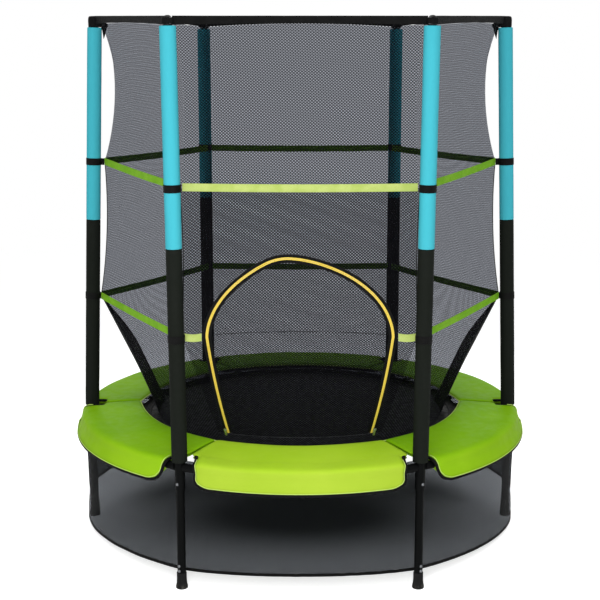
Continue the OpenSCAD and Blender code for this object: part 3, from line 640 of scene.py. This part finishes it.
def coil_spring(a):
    """A closed coil with a hook at each end, from the mat's link to the ring."""
    out, side = heading(a), heading(a + 90)
    hook, wire = 0.0037, 0.0012
    turns, per_turn, x0, x1, r = 34, 8, 0.562, 0.652, 0.0048
    line = []  # outward from the object's middle, sideways, up from the ring's middle
    for c in steps(8, 1.28 * math.pi, 0):
        line.append((0.546 - hook * math.sin(c), 0, hook * math.cos(c)))
    line += [(0.552, 0, 0.0037), (0.5575, 0, 0.0040)]
    for i in range(turns * per_turn + 1):
        c = 2 * math.pi * i / per_turn
        line.append((mix(x0, x1, i / (turns * per_turn)), r * math.sin(c), r * math.cos(c)))
    line += [(0.6560, 0, 0.0030), (0.6600, 0, 0.0004), (0.6700, 0, 0), (0.6765, 0, -0.0006), (0.6782, 0, -0.0030),
             (0.6780, 0, -0.0062)]
    return tube([out * x + side * y + up(RING_Z + z) for x, y, z in line], wire, 5)


for i in range(SPRINGS):
    a = SPRING_STEP * (i + 0.5)
    spring = make(f"spring_{i + 1:02d}", coil_spring(a), BLACK, None, "springs", sharp=80)
    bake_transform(spring)

# ---------- safety net ----------

MESH_SHIFT = 0.0031  # sets each bay's mesh off from the next one's
SEAM = 0.02  # allowance for sewing, in the sheets' flat sizes


def corner_inset(tier, v):
    """From a pole's axis to the net, which is drawn in between the straps and the band."""
    bow = 4 * v * (1 - v)
    return mix(LOWER_INSET, UPPER_INSET, v) + 0.013 * bow if tier == 1 else UPPER_INSET + 0.030 * bow


def net_corner(k, tier, v, top_z):
    k %= 6
    z = mix(LOWER_Z[k], UPPER_Z[k], v) if tier == 1 else mix(UPPER_Z[k], top_z, v)
    return heading(60 * k) * (axis_r(k, z) - corner_inset(tier, v)) + up(z)


def band_lift(k, u):
    """The band stands a little higher on the side and back poles."""
    return mix(*(0.010 if is_side(j) else 0.006 if j % 6 < 3 else 0 for j in (k, k + 1)), u)


def band_low_z(k, w):
    """The band's lower edge, which hangs deeper at the poles."""
    return BAND_TOP_Z - mix(0.009 if k < 3 else 0.016, 0.021, w * w)


def net_point(k, w, tier, v, off=0.0):
    """Bay k's net: w from -1 to 1 across the bay, v from 0 to 1 up the tier, off outward."""
    u, out = (w + 1) / 2, heading(60 * k + 30)
    if tier == 0:
        low = heading(60 * k + 60 * u) * NET_LOW_R + up(NET_LOW_Z)
        p = low.lerp(net_corner(k, 1, 0, 0).lerp(net_corner(k + 1, 1, 0, 0), u), v)
    else:
        top = band_low_z(k, w) + band_lift(k, u) - 0.0003
        p = net_corner(k, tier, v, top).lerp(net_corner(k + 1, tier, v, top), u)
        if tier == 2:  # out to the band's line between the poles
            p += out * (0.0303 * v * v * smooth((1 - abs(w)) / 0.18))
    return p + (out + heading(60 * k + 120) * (w * math.tan(math.radians(30)))) * off


def net_sheet(grid, k):
    """An open sheet of net whose mesh runs square to the bay's chord."""
    chord = heading(60 * k + 120)
    flat = []
    for column in grid:
        climb = 0.0
        for i, p in enumerate(column):
            if i:
                step = p - column[i - 1]
                climb += (step - chord * step.dot(chord)).length
            flat.append((p.dot(chord) + k * MESH_SHIFT, climb))
    if k < 3:  # the back bays are cut on the bias
        flat = [((u - v) * math.sqrt(0.5), (u + v) * math.sqrt(0.5)) for u, v in flat]
    return with_uvs(loft(grid, closed=False), flat)


def ripple(p, k, depth):
    """Slack of the fabric between its seams."""
    return heading(60 * k + 30) * (uneven(p.x * 7 + k, p.y * 7, p.z * 5) * depth)


def tier_grid(k, tier, rows):
    grid = []
    for w in steps(36, -NET_EDGE, NET_EDGE):
        column = []
        for v in steps(rows, 0.0005, 0.9995):
            p = net_point(k, w, tier, v)
            column.append(p + ripple(p, k, 0.003 * math.sin(math.pi * v) * (1 - w ** 4)))
        grid.append(column)
    return grid


for name, tier, rows in (("lower", 0, 10), ("middle", 1, 14), ("top", 2, 14)):
    for k in BAYS:
        if k == FRONT and tier < 2:
            continue
        grid = tier_grid(k, tier, rows)
        sheet = make(f"net_{name}_{k + 1}", net_sheet(grid, k), NET_BACK if k < 3 else NET,
                     "root" if tier else None, f"net_{name}_tier")
        if tier == 0:
            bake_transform(sheet)
        wide = (grid[-1][-1] - grid[0][-1]).length + SEAM
        middle = grid[len(grid) // 2]

# ---------- front bay, door and zip ----------

SPRING_Z = LOWER_Z[FRONT]  # where the arch springs from the straight sides
FRONT_TOP_Z = UPPER_Z[FRONT]
DOOR_FOOT_Z = 0.420
DOOR_LOW_Z = 0.4185
SILL_TOP_Z = 0.4160
DOOR_HALF = 0.2620
DOOR_FOOT_HALF = 0.2097
DOOR_RISE = 0.222
DOOR_SKEW = 0.034  # how far the arch's crown leans to the left
ARCH_POWER = 1 / 0.9
TAPE_UNDER = 0.0115  # from the zip's middle to the edge of the net under its tape


def front_tier(z):
    """The front net's tier at height z, and how far up the tier that is."""
    if z < SPRING_Z:
        return 0, (z - NET_LOW_Z) / (SPRING_Z - NET_LOW_Z)
    return 1, (z - SPRING_Z) / (FRONT_TOP_Z - SPRING_Z)


def front_half(z):
    """Half the front bay's width at height z."""
    tier, v = front_tier(z)
    if tier == 0:
        return mix(NET_LOW_R, axis_r(FRONT, SPRING_Z) - LOWER_INSET, v) / 2
    return (axis_r(FRONT, z) - corner_inset(1, v)) / 2


def front_at(w, z, off=0.0):
    return net_point(FRONT, w, *front_tier(z), off)


def front_point(x, z, off=0.0):
    return front_at(x / front_half(z), z, off)


def arch(t):
    """The zip's centreline in X and Z: t from -1 at the left foot, over the top at 0, to 1."""
    q, side = 1 - min(1, abs(t)), -1 if t < 0 else 1
    if q < 0.5:
        s = 2 * q
        return side * mix(DOOR_FOOT_HALF, DOOR_HALF, s + 0.39 * s * (1 - s)), mix(DOOR_FOOT_Z, SPRING_Z, s)
    a = (q - 0.5) * math.pi
    x = side * DOOR_HALF * max(0.0, math.cos(a)) ** ARCH_POWER
    return x - DOOR_SKEW * math.sin(a) ** (12 if side < 0 else 4), SPRING_Z + DOOR_RISE * math.sin(a) ** ARCH_POWER


def arch_off(t, d):
    """A point of the arch, moved outward by d in the bay's plane."""
    a, b, c = arch(max(-1, t - 0.002)), arch(min(1, t + 0.002)), arch(t)
    nx, nz = a[1] - b[1], b[0] - a[0]
    size = math.hypot(nx, nz)
    return c[0] + d * nx / size, c[1] + d * nz / size


# the zip's steps: up the left side, over the top, down the right side
ARCH = [-1 + i / 20 for i in range(10)] + [-0.5 + i / 60 for i in range(61)] + [0.5 + i / 20 for i in range(1, 11)]


def bay_edge(t, z):
    """Where the front net's row from step t of the arch ends, as w and Z on the bay's edge."""
    top = FRONT_TOP_Z - 0.001
    if abs(t) < 0.25:
        return NET_EDGE * t / 0.25, top
    if abs(t) < 0.5:
        z = mix(SPRING_Z, top, (0.5 - abs(t)) / 0.25)
    return (-1 if t < 0 else 1) * NET_EDGE, z


def front_sheet(grid):
    """As net_sheet, for rows that don't run straight up: V is the distance up the bay's own slope."""
    slope = math.hypot(1, 0.466)
    shape = loft(grid, closed=False)
    flat = [(p.x + FRONT * MESH_SHIFT, (p.z - NET_LOW_Z) * slope if p.z < SPRING_Z
             else (SPRING_Z - NET_LOW_Z) * slope + p.z - SPRING_Z) for p in shape[0]]
    return with_uvs(shape, flat)


front_grid = []
for t in ARCH:
    x, z = arch_off(t, TAPE_UNDER)
    w, (end_w, end_z) = x / front_half(z), bay_edge(t, z)
    front_grid.append([front_at(mix(w, end_w, s), mix(z, end_z, s)) for s in steps(10)])
front_net = make("net_front_panel", front_sheet(front_grid), NET_FRONT, None, "net_front")
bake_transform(front_net)

sill_grid = [[front_at(w, z) for z in steps(5, NET_LOW_Z, SILL_TOP_Z)] for w in steps(30, -NET_EDGE, NET_EDGE)]
sill = make("net_sill", front_sheet(sill_grid), NET, None, "net_front")
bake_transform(sill)

door_steps = [1 - i / 40 for i in range(1, 21)] + [0.5 - i / 60 for i in range(1, 30)]
door_sides = [[(arch_off(side, -TAPE_UNDER)[0], DOOR_LOW_Z)] + [arch_off(side * t, -TAPE_UNDER) for t in door_steps]
              for side in (-1, 1)]
door_grid = []
for u in steps(30):
    column = []
    for left, right in zip(*door_sides):
        z = mix(left[1], right[1], u)
        p = front_point(mix(left[0], right[0], u), z)
        slack = (1 - (2 * u - 1) ** 4) * math.sin(math.pi * min(1, max(0, (z - DOOR_LOW_Z) / 0.54)))
        column.append(p + ripple(p, FRONT, 0.004 * slack))
    door_grid.append(column)
door = make("door_flap", front_sheet(door_grid), NET_FRONT, "door", "net_door")


ZIP_SECTION = [  # distance from the zip's middle, height above the net
    (0.00035, -0.0004), (0.00035, 0.0012), (0.0010, 0.0022), (0.0020, 0.0022), (0.0026, 0.0011), (0.0031, 0.0009),
    (0.0037, 0.0009), (0.0041, 0.0014), (0.0118, 0.0014), (0.0122, 0.0008), (0.0122, -0.0012), (0.0066, -0.0014),
    (0.0026, -0.0008),
]


def zip_side(side):
    """Half of the zip along the arch: teeth, tape and binding, as a closed strip."""
    rings = []
    for t in ARCH:
        places = [(arch_off(t, side * d), h) for d, h in ZIP_SECTION]
        rings.append([front_point(x, z, h) for (x, z), h in places])
    return loft(rings)


def zip_look(poly):
    """Yellow next to the teeth, black on the binding."""
    return 1 if 6 <= poly.index % len(ZIP_SECTION) <= 11 else 0


for name, side, body, half in (("bay_zip", 1, "root", "outer"), ("door_zip", -1, "door", "inner")):
    tape = make(name, zip_side(side), [YELLOW, BIND_BLACK], body, f"zip_{half}_half", pick=zip_look)
    outward(tape)

# ---------- seams and doubled corners of the net ----------

door_seam = [front_point(0.238 * s, 0.7515 + 0.008 * (1 - s * s), 0.0008) for s in steps(32, -1, 1)]
seam("door_seam", door_seam, 0.0008, 6, "door")

for k in POLES:
    seam(f"corner_seam_{k + 1}", [net_corner(k, 1, v, 0) for v in steps(12)], 0.0013, 6)

for k in (0, 3):  # the lower net lies double beside the side poles
    for bay, side in ((k, -1), ((k - 1) % 6, 1)):
        grid = []
        for s in steps(4):
            column = []
            for v in steps(12, 0.002, 0.985):
                wide = 0.008 + 0.046 * smooth((1 - v) * 2.2) + 0.075 * (1 - v)
                w = side * (0.9996 - 2 * wide / RING_R * s)
                column.append(net_point(bay, w, 0, v, 0.0013 + 0.0008 * math.sin(math.pi * s)))
            grid.append(column)
        name = f"corner_pleat_{bay + 1}{'a' if side < 0 else 'b'}"
        sheet = make(name, net_sheet(grid, bay), NET_DOUBLED, None, None)
        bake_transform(sheet)

# ---------- webbing and ties ----------

STRAP_HALF = 0.011
STRAP_SECTION = (  # height, distance from the net
    (-STRAP_HALF, 0.5), (-0.0106, 1), (-0.009, 0.85), (0.009, 0.85), (0.0106, 1), (STRAP_HALF, 0.5), (0.0106, 0),
    (-0.0106, 0),
)


def strap(k, v, w0, w1):
    """Flat webbing across bay k, with a thin rolled edge and a slight sag."""
    rings = []
    for s in steps(24):
        w = mix(w0, w1, s)
        sag = 0.0028 * math.sin(math.pi * s)
        twist = uneven(w * 3 + k, v * 5, 2.0) * 0.0006
        rings.append([net_point(k, w, 1, v, 0.0013 + 0.0025 * h + twist * y / STRAP_HALF) + up(y - sag)
                      for y, h in STRAP_SECTION])
    return loft(rings)


strap_end = 1 - 2 * 0.010 / RING_R  # the straps stop 10 mm short of the poles' planes
door_edge = (DOOR_HALF + 0.0143) / front_half(SPRING_Z)
straps = [strap(k, 1, -strap_end, strap_end) for k in BAYS]
straps += [strap(k, 0, -strap_end, strap_end) for k in BAYS if k != FRONT]
straps += [strap(FRONT, 0, -strap_end, -door_edge), strap(FRONT, 0, door_edge, strap_end)]
# the front bay's straps take a copy of the green webbing painted lighter, as lit from the front
webs = make("net_webbing_strap", join(straps), [WEB_GREEN, WEB_PAINTED_LIT], "root", "net_webbing",
            pick=lambda poly: 1 if abs(poly.center.x) < 0.335 and poly.center.y < -0.5 else 0)
outward(webs)


def tie(k, z, inset):
    """Hook-and-loop band round the foam, with its lapped end and the tongue sewn to the net."""
    rings = []
    for y, grow in ((-0.011, 0.0004), (-0.0106, 0.0012), (-0.004, 0.0013), (0.004, 0.0013), (0.0106, 0.0012),
                    (0.011, 0.0004), (0.0106, 0.00025), (-0.0106, 0.00025)):
        ring = []
        for j, a in enumerate(around(44)):
            lap = 0.0009 * smooth(1 - abs(j - 12) / 7) if grow > 0.001 else 0
            r = FOAM_R + grow + lap
            ring.append(on_pole(k, r * math.cos(a + 0.6), r * math.sin(a + 0.6), z + y))
        rings.append(ring)
    tongue = []
    for x, half in ((-0.0246, 0.0035), (-0.0262, 0.0014), (-inset + 0.0013, 0.0014)):
        corners = ((-half, -0.0105), (half, -0.0105), (half, 0.0105), (-half, 0.0105))
        tongue.append([on_pole(k, x, y, z + h) for y, h in corners])
    return join([loft(rings, cyclic=True), loft(tongue)])


ties = [tie(k, zs[k], inset) for zs, inset in ((LOWER_Z, LOWER_INSET), (UPPER_Z, UPPER_INSET)) for k in POLES]
hook_ties = make("hook_loop_ties", join(ties), WEB_BLACK, "root", "strap_ties")
outward(hook_ties)

# ---------- top band ----------

BAND_SECTION = (  # distance from its middle, height
    (-0.55, 0.02), (-1, 0.16), (-0.9, 0.30), (-1, 0.6), (-0.85, 0.9), (-0.3, 1), (0.3, 1), (0.85, 0.9), (1, 0.6),
    (0.9, 0.30), (1, 0.16), (0.55, 0.02),
)


def band_span(k):
    """The band's sewn tube over bay k, deeper at the poles, with a stitched lower edge."""
    a = heading(60 * k) * axis_r(k, POLE_TOP_Z)
    b = heading(60 * k + 60) * axis_r(k + 1, POLE_TOP_Z)
    along, out = (b - a).normalized(), heading(60 * k + 30)
    length = (b - a).length
    rings = []
    for d in steps(40, 0.012, length - 0.012):
        lift = band_lift(k, d / length)
        low, top = band_low_z(k, 2 * d / length - 1) + lift, BAND_TOP_Z + 0.004 + lift
        lump = uneven(d * 14, k * 3.3, 0.2)
        fat = 0.0020 + 0.0003 * lump  # half its thickness
        mid = a + along * d + out * (0.0006 * uneven(d * 5, k * 1.7, 4.0))
        rings.append([mid + out * (s * fat) + up(mix(low, top, h) + 0.0003 * lump * h) for s, h in BAND_SECTION])
    return loft(rings)


def band_cup(k):
    """The fabric pocket over a pole's top, gathered round the cap, and larger at the side poles."""
    rings = []
    centre = heading(60 * k) * axis_r(k, POLE_TOP_Z)
    for r, z in ((0.0052, 0.0200), (0.0100, 0.0203), (0.0146, 0.0196), (0.0166, 0.0175), (0.0173, 0.0140),
                 (0.0172, 0.0090), (0.0170, 0.0045), (0.0166, 0.0032), (0.0150, 0.0031)):
        if is_side(k):
            r, z = r * 1.14, (z - 0.0031) * 2.0 - 0.0010
        ring = []
        for a in around(36):
            fold = 0.0006 * math.sin(7 * a + k) * smooth((r - 0.006) / 0.01)
            ring.append(centre + heading(60 * k + math.degrees(a)) * (r + fold) + up(POLE_TOP_Z + z))
        rings.append(ring)
    return loft(rings, caps=False)


def band_fold(k):
    """The folded corner that runs down from the pocket to the net."""
    r0 = axis_r(k, POLE_TOP_Z)
    out, side = heading(60 * k), heading(60 * k + 90)
    rings = []
    for s in steps(8):
        if is_side(k):
            x, top = mix(-0.0130, -0.0420, s), mix(0.0250, 0.0090, s)
            low = mix(0.0000, -0.0380, smooth((s - 0.34) / 0.10)) + 0.040 * smooth((s - 0.44) / 0.56)
        else:
            x, top, low = mix(-0.0150, -0.0368, s), mix(0.0190, 0.0022, s), mix(0.0038, -0.0007, s)
        half, mid = 0.0015 + 0.0035 * math.sin(math.pi * s), mix(low, top, 0.5)
        outline = ((-0.4, low), (-1.2, mid), (-0.6, top), (0.6, top), (1.2, mid), (0.4, low))
        rings.append([out * (r0 + x) + side * (half * y) + up(POLE_TOP_Z + z) for y, z in outline])
    return loft(rings)


band = make("top_band_tube", join([part(k) for part in (band_span, band_cup, band_fold) for k in POLES]), WEB_BLACK,
            "root", "top_band")
outward(band)

# ---------- safety pad ----------

PAD_TOP_Z, PAD_UNDER_Z = 0.3940, 0.3815
PAD_BEND_R = 0.6398  # the panels part at the poles outside this radius
PAD_SIDE_R, PAD_INNER_R = 0.527, 0.500  # the inner edge at the side poles and at the others
PAD_BOW = 0.057
MEETING = 0.0001  # end margin where two panels meet
PAD_ROWS = (  # from the hem inward: top radius and height, under radius and height, end margin
    (0.7260, 0.3250, 0.7206, 0.3254, 0.0950), (0.7256, 0.3268, 0.7201, 0.3268, 0.0830),
    (0.7250, 0.3300, 0.7194, 0.3300, 0.0700), (0.7240, 0.3360, 0.7180, 0.3360, 0.0585),
    (0.7222, 0.3430, 0.7150, 0.3430, 0.0520), (0.7180, 0.3510, 0.7105, 0.3510, 0.0487),
    (0.7145, 0.3575, 0.7080, 0.3570, 0.0470), (0.7120, 0.3640, 0.7055, 0.3640, 0.0457),
    (0.7110, 0.3720, 0.7042, 0.3700, 0.0440), (0.7092, 0.3800, 0.7025, 0.3760, 0.0412),
    (0.7060, 0.3868, 0.6990, 0.3800, 0.0385), (0.7000, 0.3912, 0.6940, 0.3813, 0.0368),
    (0.6910, 0.3932, 0.6875, PAD_UNDER_Z, 0.0355), (0.6780, PAD_TOP_Z, 0.6780, PAD_UNDER_Z, 0.0345),
    (0.6620, 0.3942, 0.6620, PAD_UNDER_Z, 0.0335), (0.6480, 0.3942, 0.6480, PAD_UNDER_Z, 0.0325),
    (0.6425, 0.3941, 0.6425, PAD_UNDER_Z, 0.0290), (0.6405, PAD_TOP_Z, 0.6405, PAD_UNDER_Z, 0.0230),
    (PAD_BEND_R, PAD_TOP_Z, PAD_BEND_R, PAD_UNDER_Z, MEETING),
)
FLAP_ROWS = 10  # the rows that hang down outside the ring
NOTCH_ROWS = 18  # the rows beside a pole's notch
PIPED_ROWS = 14  # the rows that the light piping follows up a panel's end
PAD_COLS = 60


def pad_edge_r(k, u):
    """The pad's inner edge, which bows outward between the poles."""
    a, b = (PAD_SIDE_R if is_side(j) else PAD_INNER_R for j in (k, k + 1))
    sixty = math.radians(60)
    chord = a * b * math.sin(sixty) / (a * math.sin(sixty * u) + b * math.sin(sixty * (1 - u)))
    return chord + PAD_BOW * 4 * u * (1 - u)


def pad_rows(inner, cut):
    """All rows of a pad with this inner radius, and cut more at its ends."""
    rows = [(r, z, r2, z2, m + cut * smooth((r - 0.6400) / 0.062)) for r, z, r2, z2, m in PAD_ROWS]
    for share in (0.25, 0.5, 0.75):
        r, rise = mix(PAD_BEND_R, inner + 0.012, share), 0.0068 * share
        rows.append((r, PAD_TOP_Z + rise, r, PAD_UNDER_Z + rise, MEETING))
    for step, z, step2, z2 in ((0.012, 0.4006, 0.012, 0.3884), (0.004, 0.3992, 0.004, 0.3890),
                               (0, 0.3956, 0.0005, 0.3916)):
        rows.append((inner + step, z, inner + step2, z2, MEETING))
    return rows


def pad_place(k, s, r, z, margin):
    a = 60 * k + 30 + s * (30 - math.degrees(math.asin(margin / r)))
    return heading(a) * r + up(z)


def pad_lump(k, s, r, z):
    """Soft unevenness of the padding, with short pulls at the two ends."""
    wide = uneven(s * 2.2 + k * 5, r * 9, 1.0) * 0.0022
    pulls = uneven(s * 30 + k * 3, r * 7, 3.0) * 0.0011 * smooth((abs(s) - 0.70) / 0.3)
    return wide + pulls + noise.noise(polar(r, s, z) * 40) * 0.0003


def round_the_hem(k, ends, outer):
    """A path down one end of panel k, along its hem and up the other end."""
    path = [pad_place(k, -1, *place) for place in reversed(ends)]
    path += [pad_place(k, s, *outer) for s in steps(PAD_COLS, -1, 1)[1:-1]]
    return path + [pad_place(k, 1, *place) for place in ends]


for k in BAYS:
    cut = 0.020 if k == FRONT else 0.0
    rings = []
    for u in steps(PAD_COLS):
        s = -math.cos(math.pi * u) * 0.35 + mix(-1, 1, u) * 0.65
        rows = pad_rows(pad_edge_r(k, (s + 1) / 2), cut)
        end = smooth((1 - abs(s)) / 0.05)
        top, low = [], []
        for j, (r, z, r2, z2, margin) in enumerate(rows):
            inside = min(1, j / 3, (len(rows) - 1 - j) / 3)
            lump = pad_lump(k, s, r, z) * inside * end
            dip = 0.0045 * (1 - end) * min(1, inside * 2)
            if j < FLAP_ROWS:
                top.append(pad_place(k, s, r + lump * 0.8 - dip * 0.5, z, margin))
            else:
                top.append(pad_place(k, s, r, z + lump - dip, margin))
            low.append(pad_place(k, s, r2, z2, margin))
        rings.append(top + low[::-1])
    # the front panel takes the vinyl painted lighter as lit from the front
    panel = make(f"pad_{k + 1}", loft(rings), VINYL_PAINTED_LIT if k == FRONT else VINYL, "root", f"pad_panel_{k + 1}",
                 sharp=60)
    outward(panel)
    refine = panel.modifiers.new("soft", "SUBSURF")
    refine.levels = refine.render_levels = 1

    rows = pad_rows(0.55, cut)
    ends = [((r + r2) / 2, (z + z2) / 2, margin - 0.0008) for r, z, r2, z2, margin in rows[:NOTCH_ROWS]]
    seam(f"pad_binding_{k + 1}", round_the_hem(k, ends, (ends[0][0], rows[0][1] + 0.0008, rows[0][4])), 0.0046, 10)

    ends = [(r + 0.0004, z + (0.0062 if j < 3 else 0.0045 if j < 5 else 0), margin + (0.001 if j < 2 else 0.0047))
            for j, (r, z, _, _, margin) in enumerate(rows[:PIPED_ROWS])]
    inner = [pad_place(k, s, pad_edge_r(k, (s + 1) / 2) - 0.0004, 0.3938, MEETING) for s in steps(PAD_COLS, -1, 1)]
    piping = join([tube(round_the_hem(k, ends, ends[0]), 0.0012, 6), tube(inner, 0.0022, 8)])
    make(f"pad_piping_{k + 1}", piping, PIPING, "root", None, sharp=80)

# ---------- lower net ----------

SKIRT_TOP_Z = 0.350
SKIRT_LEG_R = 0.67135  # inside the front and back legs
SKIRT_RING_R = 0.6725  # inside the ring
SKIRT_RISE = 0.0335
HEM_SIDE_Z, HEM_FRONT_Z, HEM_BACK_Z = 0.012, 0.052, 0.105
SKIRT_END = math.degrees(math.asin(0.0001 / RING_R))
SIDE_R = (  # heights and half widths of the side legs, which the net goes round
    (0.012, 0.0175), (0.075, 0.0162), (0.095, 0.0125), (0.2885, 0.0125), (0.3005, 0.01465), (0.311, 0.01735),
    (SKIRT_TOP_Z, 0.01735),
)


def skirt_pole_r(k, z):
    if not is_side(k):
        return SKIRT_LEG_R
    for (z0, a), (z1, b) in zip(SIDE_R, SIDE_R[1:]):
        if z <= z1:
            break
    return RING_R + 0.0015 + mix(a, b, min(1, max(0, (z - z0) / (z1 - z0))))


def hem_z(k, u):
    """The hem is lowest at the side legs, a little higher at the front legs and highest behind."""
    if k < 3:
        return HEM_BACK_Z
    return mix(*(HEM_SIDE_Z if is_side(j) else HEM_FRONT_Z for j in (k, k + 1)), u)


def skirt_top(k, u):
    """The net is drawn up inside the ring beside the front and back legs."""
    gap = min(1 if is_side(k) else u, 1 if is_side(k + 1) else 1 - u)
    return SKIRT_TOP_Z + SKIRT_RISE * smooth((0.072 - gap) / 0.012)


def skirt_point(k, u, z, off):
    """Bay k's lower net: u from 0 to 1 across the bay, drawn in between the legs, off outward."""
    v = (z - hem_z(k, u)) / (SKIRT_TOP_Z - hem_z(k, u))
    a = mix(60 * k + SKIRT_END, 60 * k + 60 - SKIRT_END, u)
    r = mix(skirt_pole_r(k, z), skirt_pole_r(k + 1, z), smooth(u))
    r -= (0.042 if k % 3 == 1 else 0.022) * math.sin(math.pi * u) * (1 - v)
    if z > SKIRT_TOP_Z + 0.001:
        r = min(r, SKIRT_RING_R)
    return heading(a) * (r + off) + up(z)


def skirt_fold(k, u, v):
    """Shallow upright folds where the net gathers at the legs."""
    near = (1 - smooth(u / 0.22)) + (1 - smooth((1 - u) / 0.22))
    wave = math.sin(u * 150 + k) * 0.5 + uneven(u * 26, v * 2.5, k * 3.0)
    edge = min(1, u * 25, (1 - u) * 25)
    return wave * 0.0016 * near * edge + 0.0015 * uneven(u * 9, v * 3, k * 2.0) * edge


HEM_SECTION = (  # height and thickness
    (-0.5, 0.4), (-0.42, 1), (0.42, 1), (0.5, 0.4), (0.5, -0.4), (0.42, -1), (-0.42, -1), (-0.5, -0.4),
)
for k in BAYS:
    grid, rings = [], []
    for u in steps(60):
        z = hem_z(k, u)
        grid.append([skirt_point(k, u, mix(z + 0.0053, skirt_top(k, u), v), skirt_fold(k, u, v)) for v in steps(16)])
        z += 0.0006 * uneven(u * 30, k * 4.0, 0.0)
        rings.append([skirt_point(k, u, z + h * 0.0104, t * 0.0012 + skirt_fold(k, u, 0) * 0.6)
                      for h, t in HEM_SECTION])
    flat = [(i * 0.0118, p.z) for i, column in enumerate(grid) for p in column]
    sheet = make(f"skirt_{k + 1}", with_uvs(loft(grid, closed=False), flat), SKIRT, "root", "skirt")
    outward(make(f"skirt_binding_{k + 1}", loft(rings), BIND_BLACK, "root", "skirt_hem"))

# ---------- floor and light ----------

FLOOR_HALF = 40
corners = [(x * FLOOR_HALF, y * FLOOR_HALF, 0) for x, y in ((-1, -1), (1, -1), (1, 1), (-1, 1))]
mesh = bpy.data.meshes.new("floor")
mesh.from_pydata(corners, [], [(0, 1, 2, 3)])
floor = new_object("floor", mesh)
ground = bpy.data.materials.new("floor_white")
ground.use_nodes = True
floor.data.materials.append(ground)
g = Nodes(ground.node_tree)
shader = g.tree.nodes["Principled BSDF"]
for name, value in (("Base Color", (0.9, 0.9, 0.9, 1)), ("Roughness", 0.9), ("Specular IOR Level", 0.0),
                    ("Emission Color", (1, 1, 1, 1))):
    shader.inputs[name].default_value = value


def by_distance(near, far, value_near, value_far, stretch=1.0):
    """A value that changes with the distance from the object's middle, stretched along X."""
    scaled = g.node("VectorMath", g.coordinates(), (1 / stretch, 1, 1), operation="MULTIPLY")
    return g.ramp(g.node("VectorMath", scaled, operation="LENGTH", out=1), near, far, value_near, value_far)


# the white that is seen directly: less of it under the mat and its back half, a painted shadow there, and less
# further out, so that more of it near the object is painted light over the floor's shade
painted_shade_under_back = g.math("MULTIPLY", g.ramp(g.axes()[1], -0.02, 0.25, 0, 0.85), by_distance(0.52, 0.70, 1, 0))
middle = g.math("MULTIPLY", by_distance(0.12, 0.46, 0, 1, 1.65), g.math("SUBTRACT", 1, painted_shade_under_back))
white = g.math("MULTIPLY", middle, by_distance(0.8, 3.0, 0.68, 0.26))
g.tree.links.new(g.math("MULTIPLY", g.seen_directly(), white), shader.inputs["Emission Strength"])
horizon = g.node("MixShader", by_distance(3, 6, 0, 1), shader.outputs[0], g.node("Emission"))
g.tree.links.new(horizon, g.tree.nodes["Material Output"].inputs[0])

world = bpy.data.worlds.new("studio")
bpy.context.scene.world = world
world.use_nodes = True
sky = Nodes(world.node_tree)
back = sky.tree.nodes["Background"]
back.inputs["Color"].default_value = (1, 1, 1, 1)
level = sky.node("MapRange", sky.seen_directly(), 0.0, 1.0, 0.30, 1.0)
sky.tree.links.new(level, back.inputs["Strength"])


def lamp(name, kind, energy, away):
    """A lamp whose light comes from the direction away."""
    placed = new_object(name, bpy.data.lights.new(name, kind))
    placed.data.energy = energy
    placed.rotation_euler = away.to_track_quat("Z", "Y").to_euler()
    return placed


def sun(name, strength, angle, azimuth, elevation):
    a, e = math.radians(azimuth), math.radians(elevation)
    away = Vector((math.sin(a) * math.cos(e), -math.cos(a) * math.cos(e), math.sin(e)))
    lamp(name, "SUN", strength, away).data.angle = math.radians(angle)


KEY_PLACE, KEY_TARGET = Vector((-0.2, -2.9, 1.3)), Vector((0, 0, 0.8))
key = lamp("key", "AREA", 41, KEY_PLACE - KEY_TARGET)
key.data.size = 1.2
key.location = KEY_PLACE
key.visible_camera = False
sun("top", 1.45, 60, 10, 72)
sun("back_fill", 0.6, 40, 180, 35)
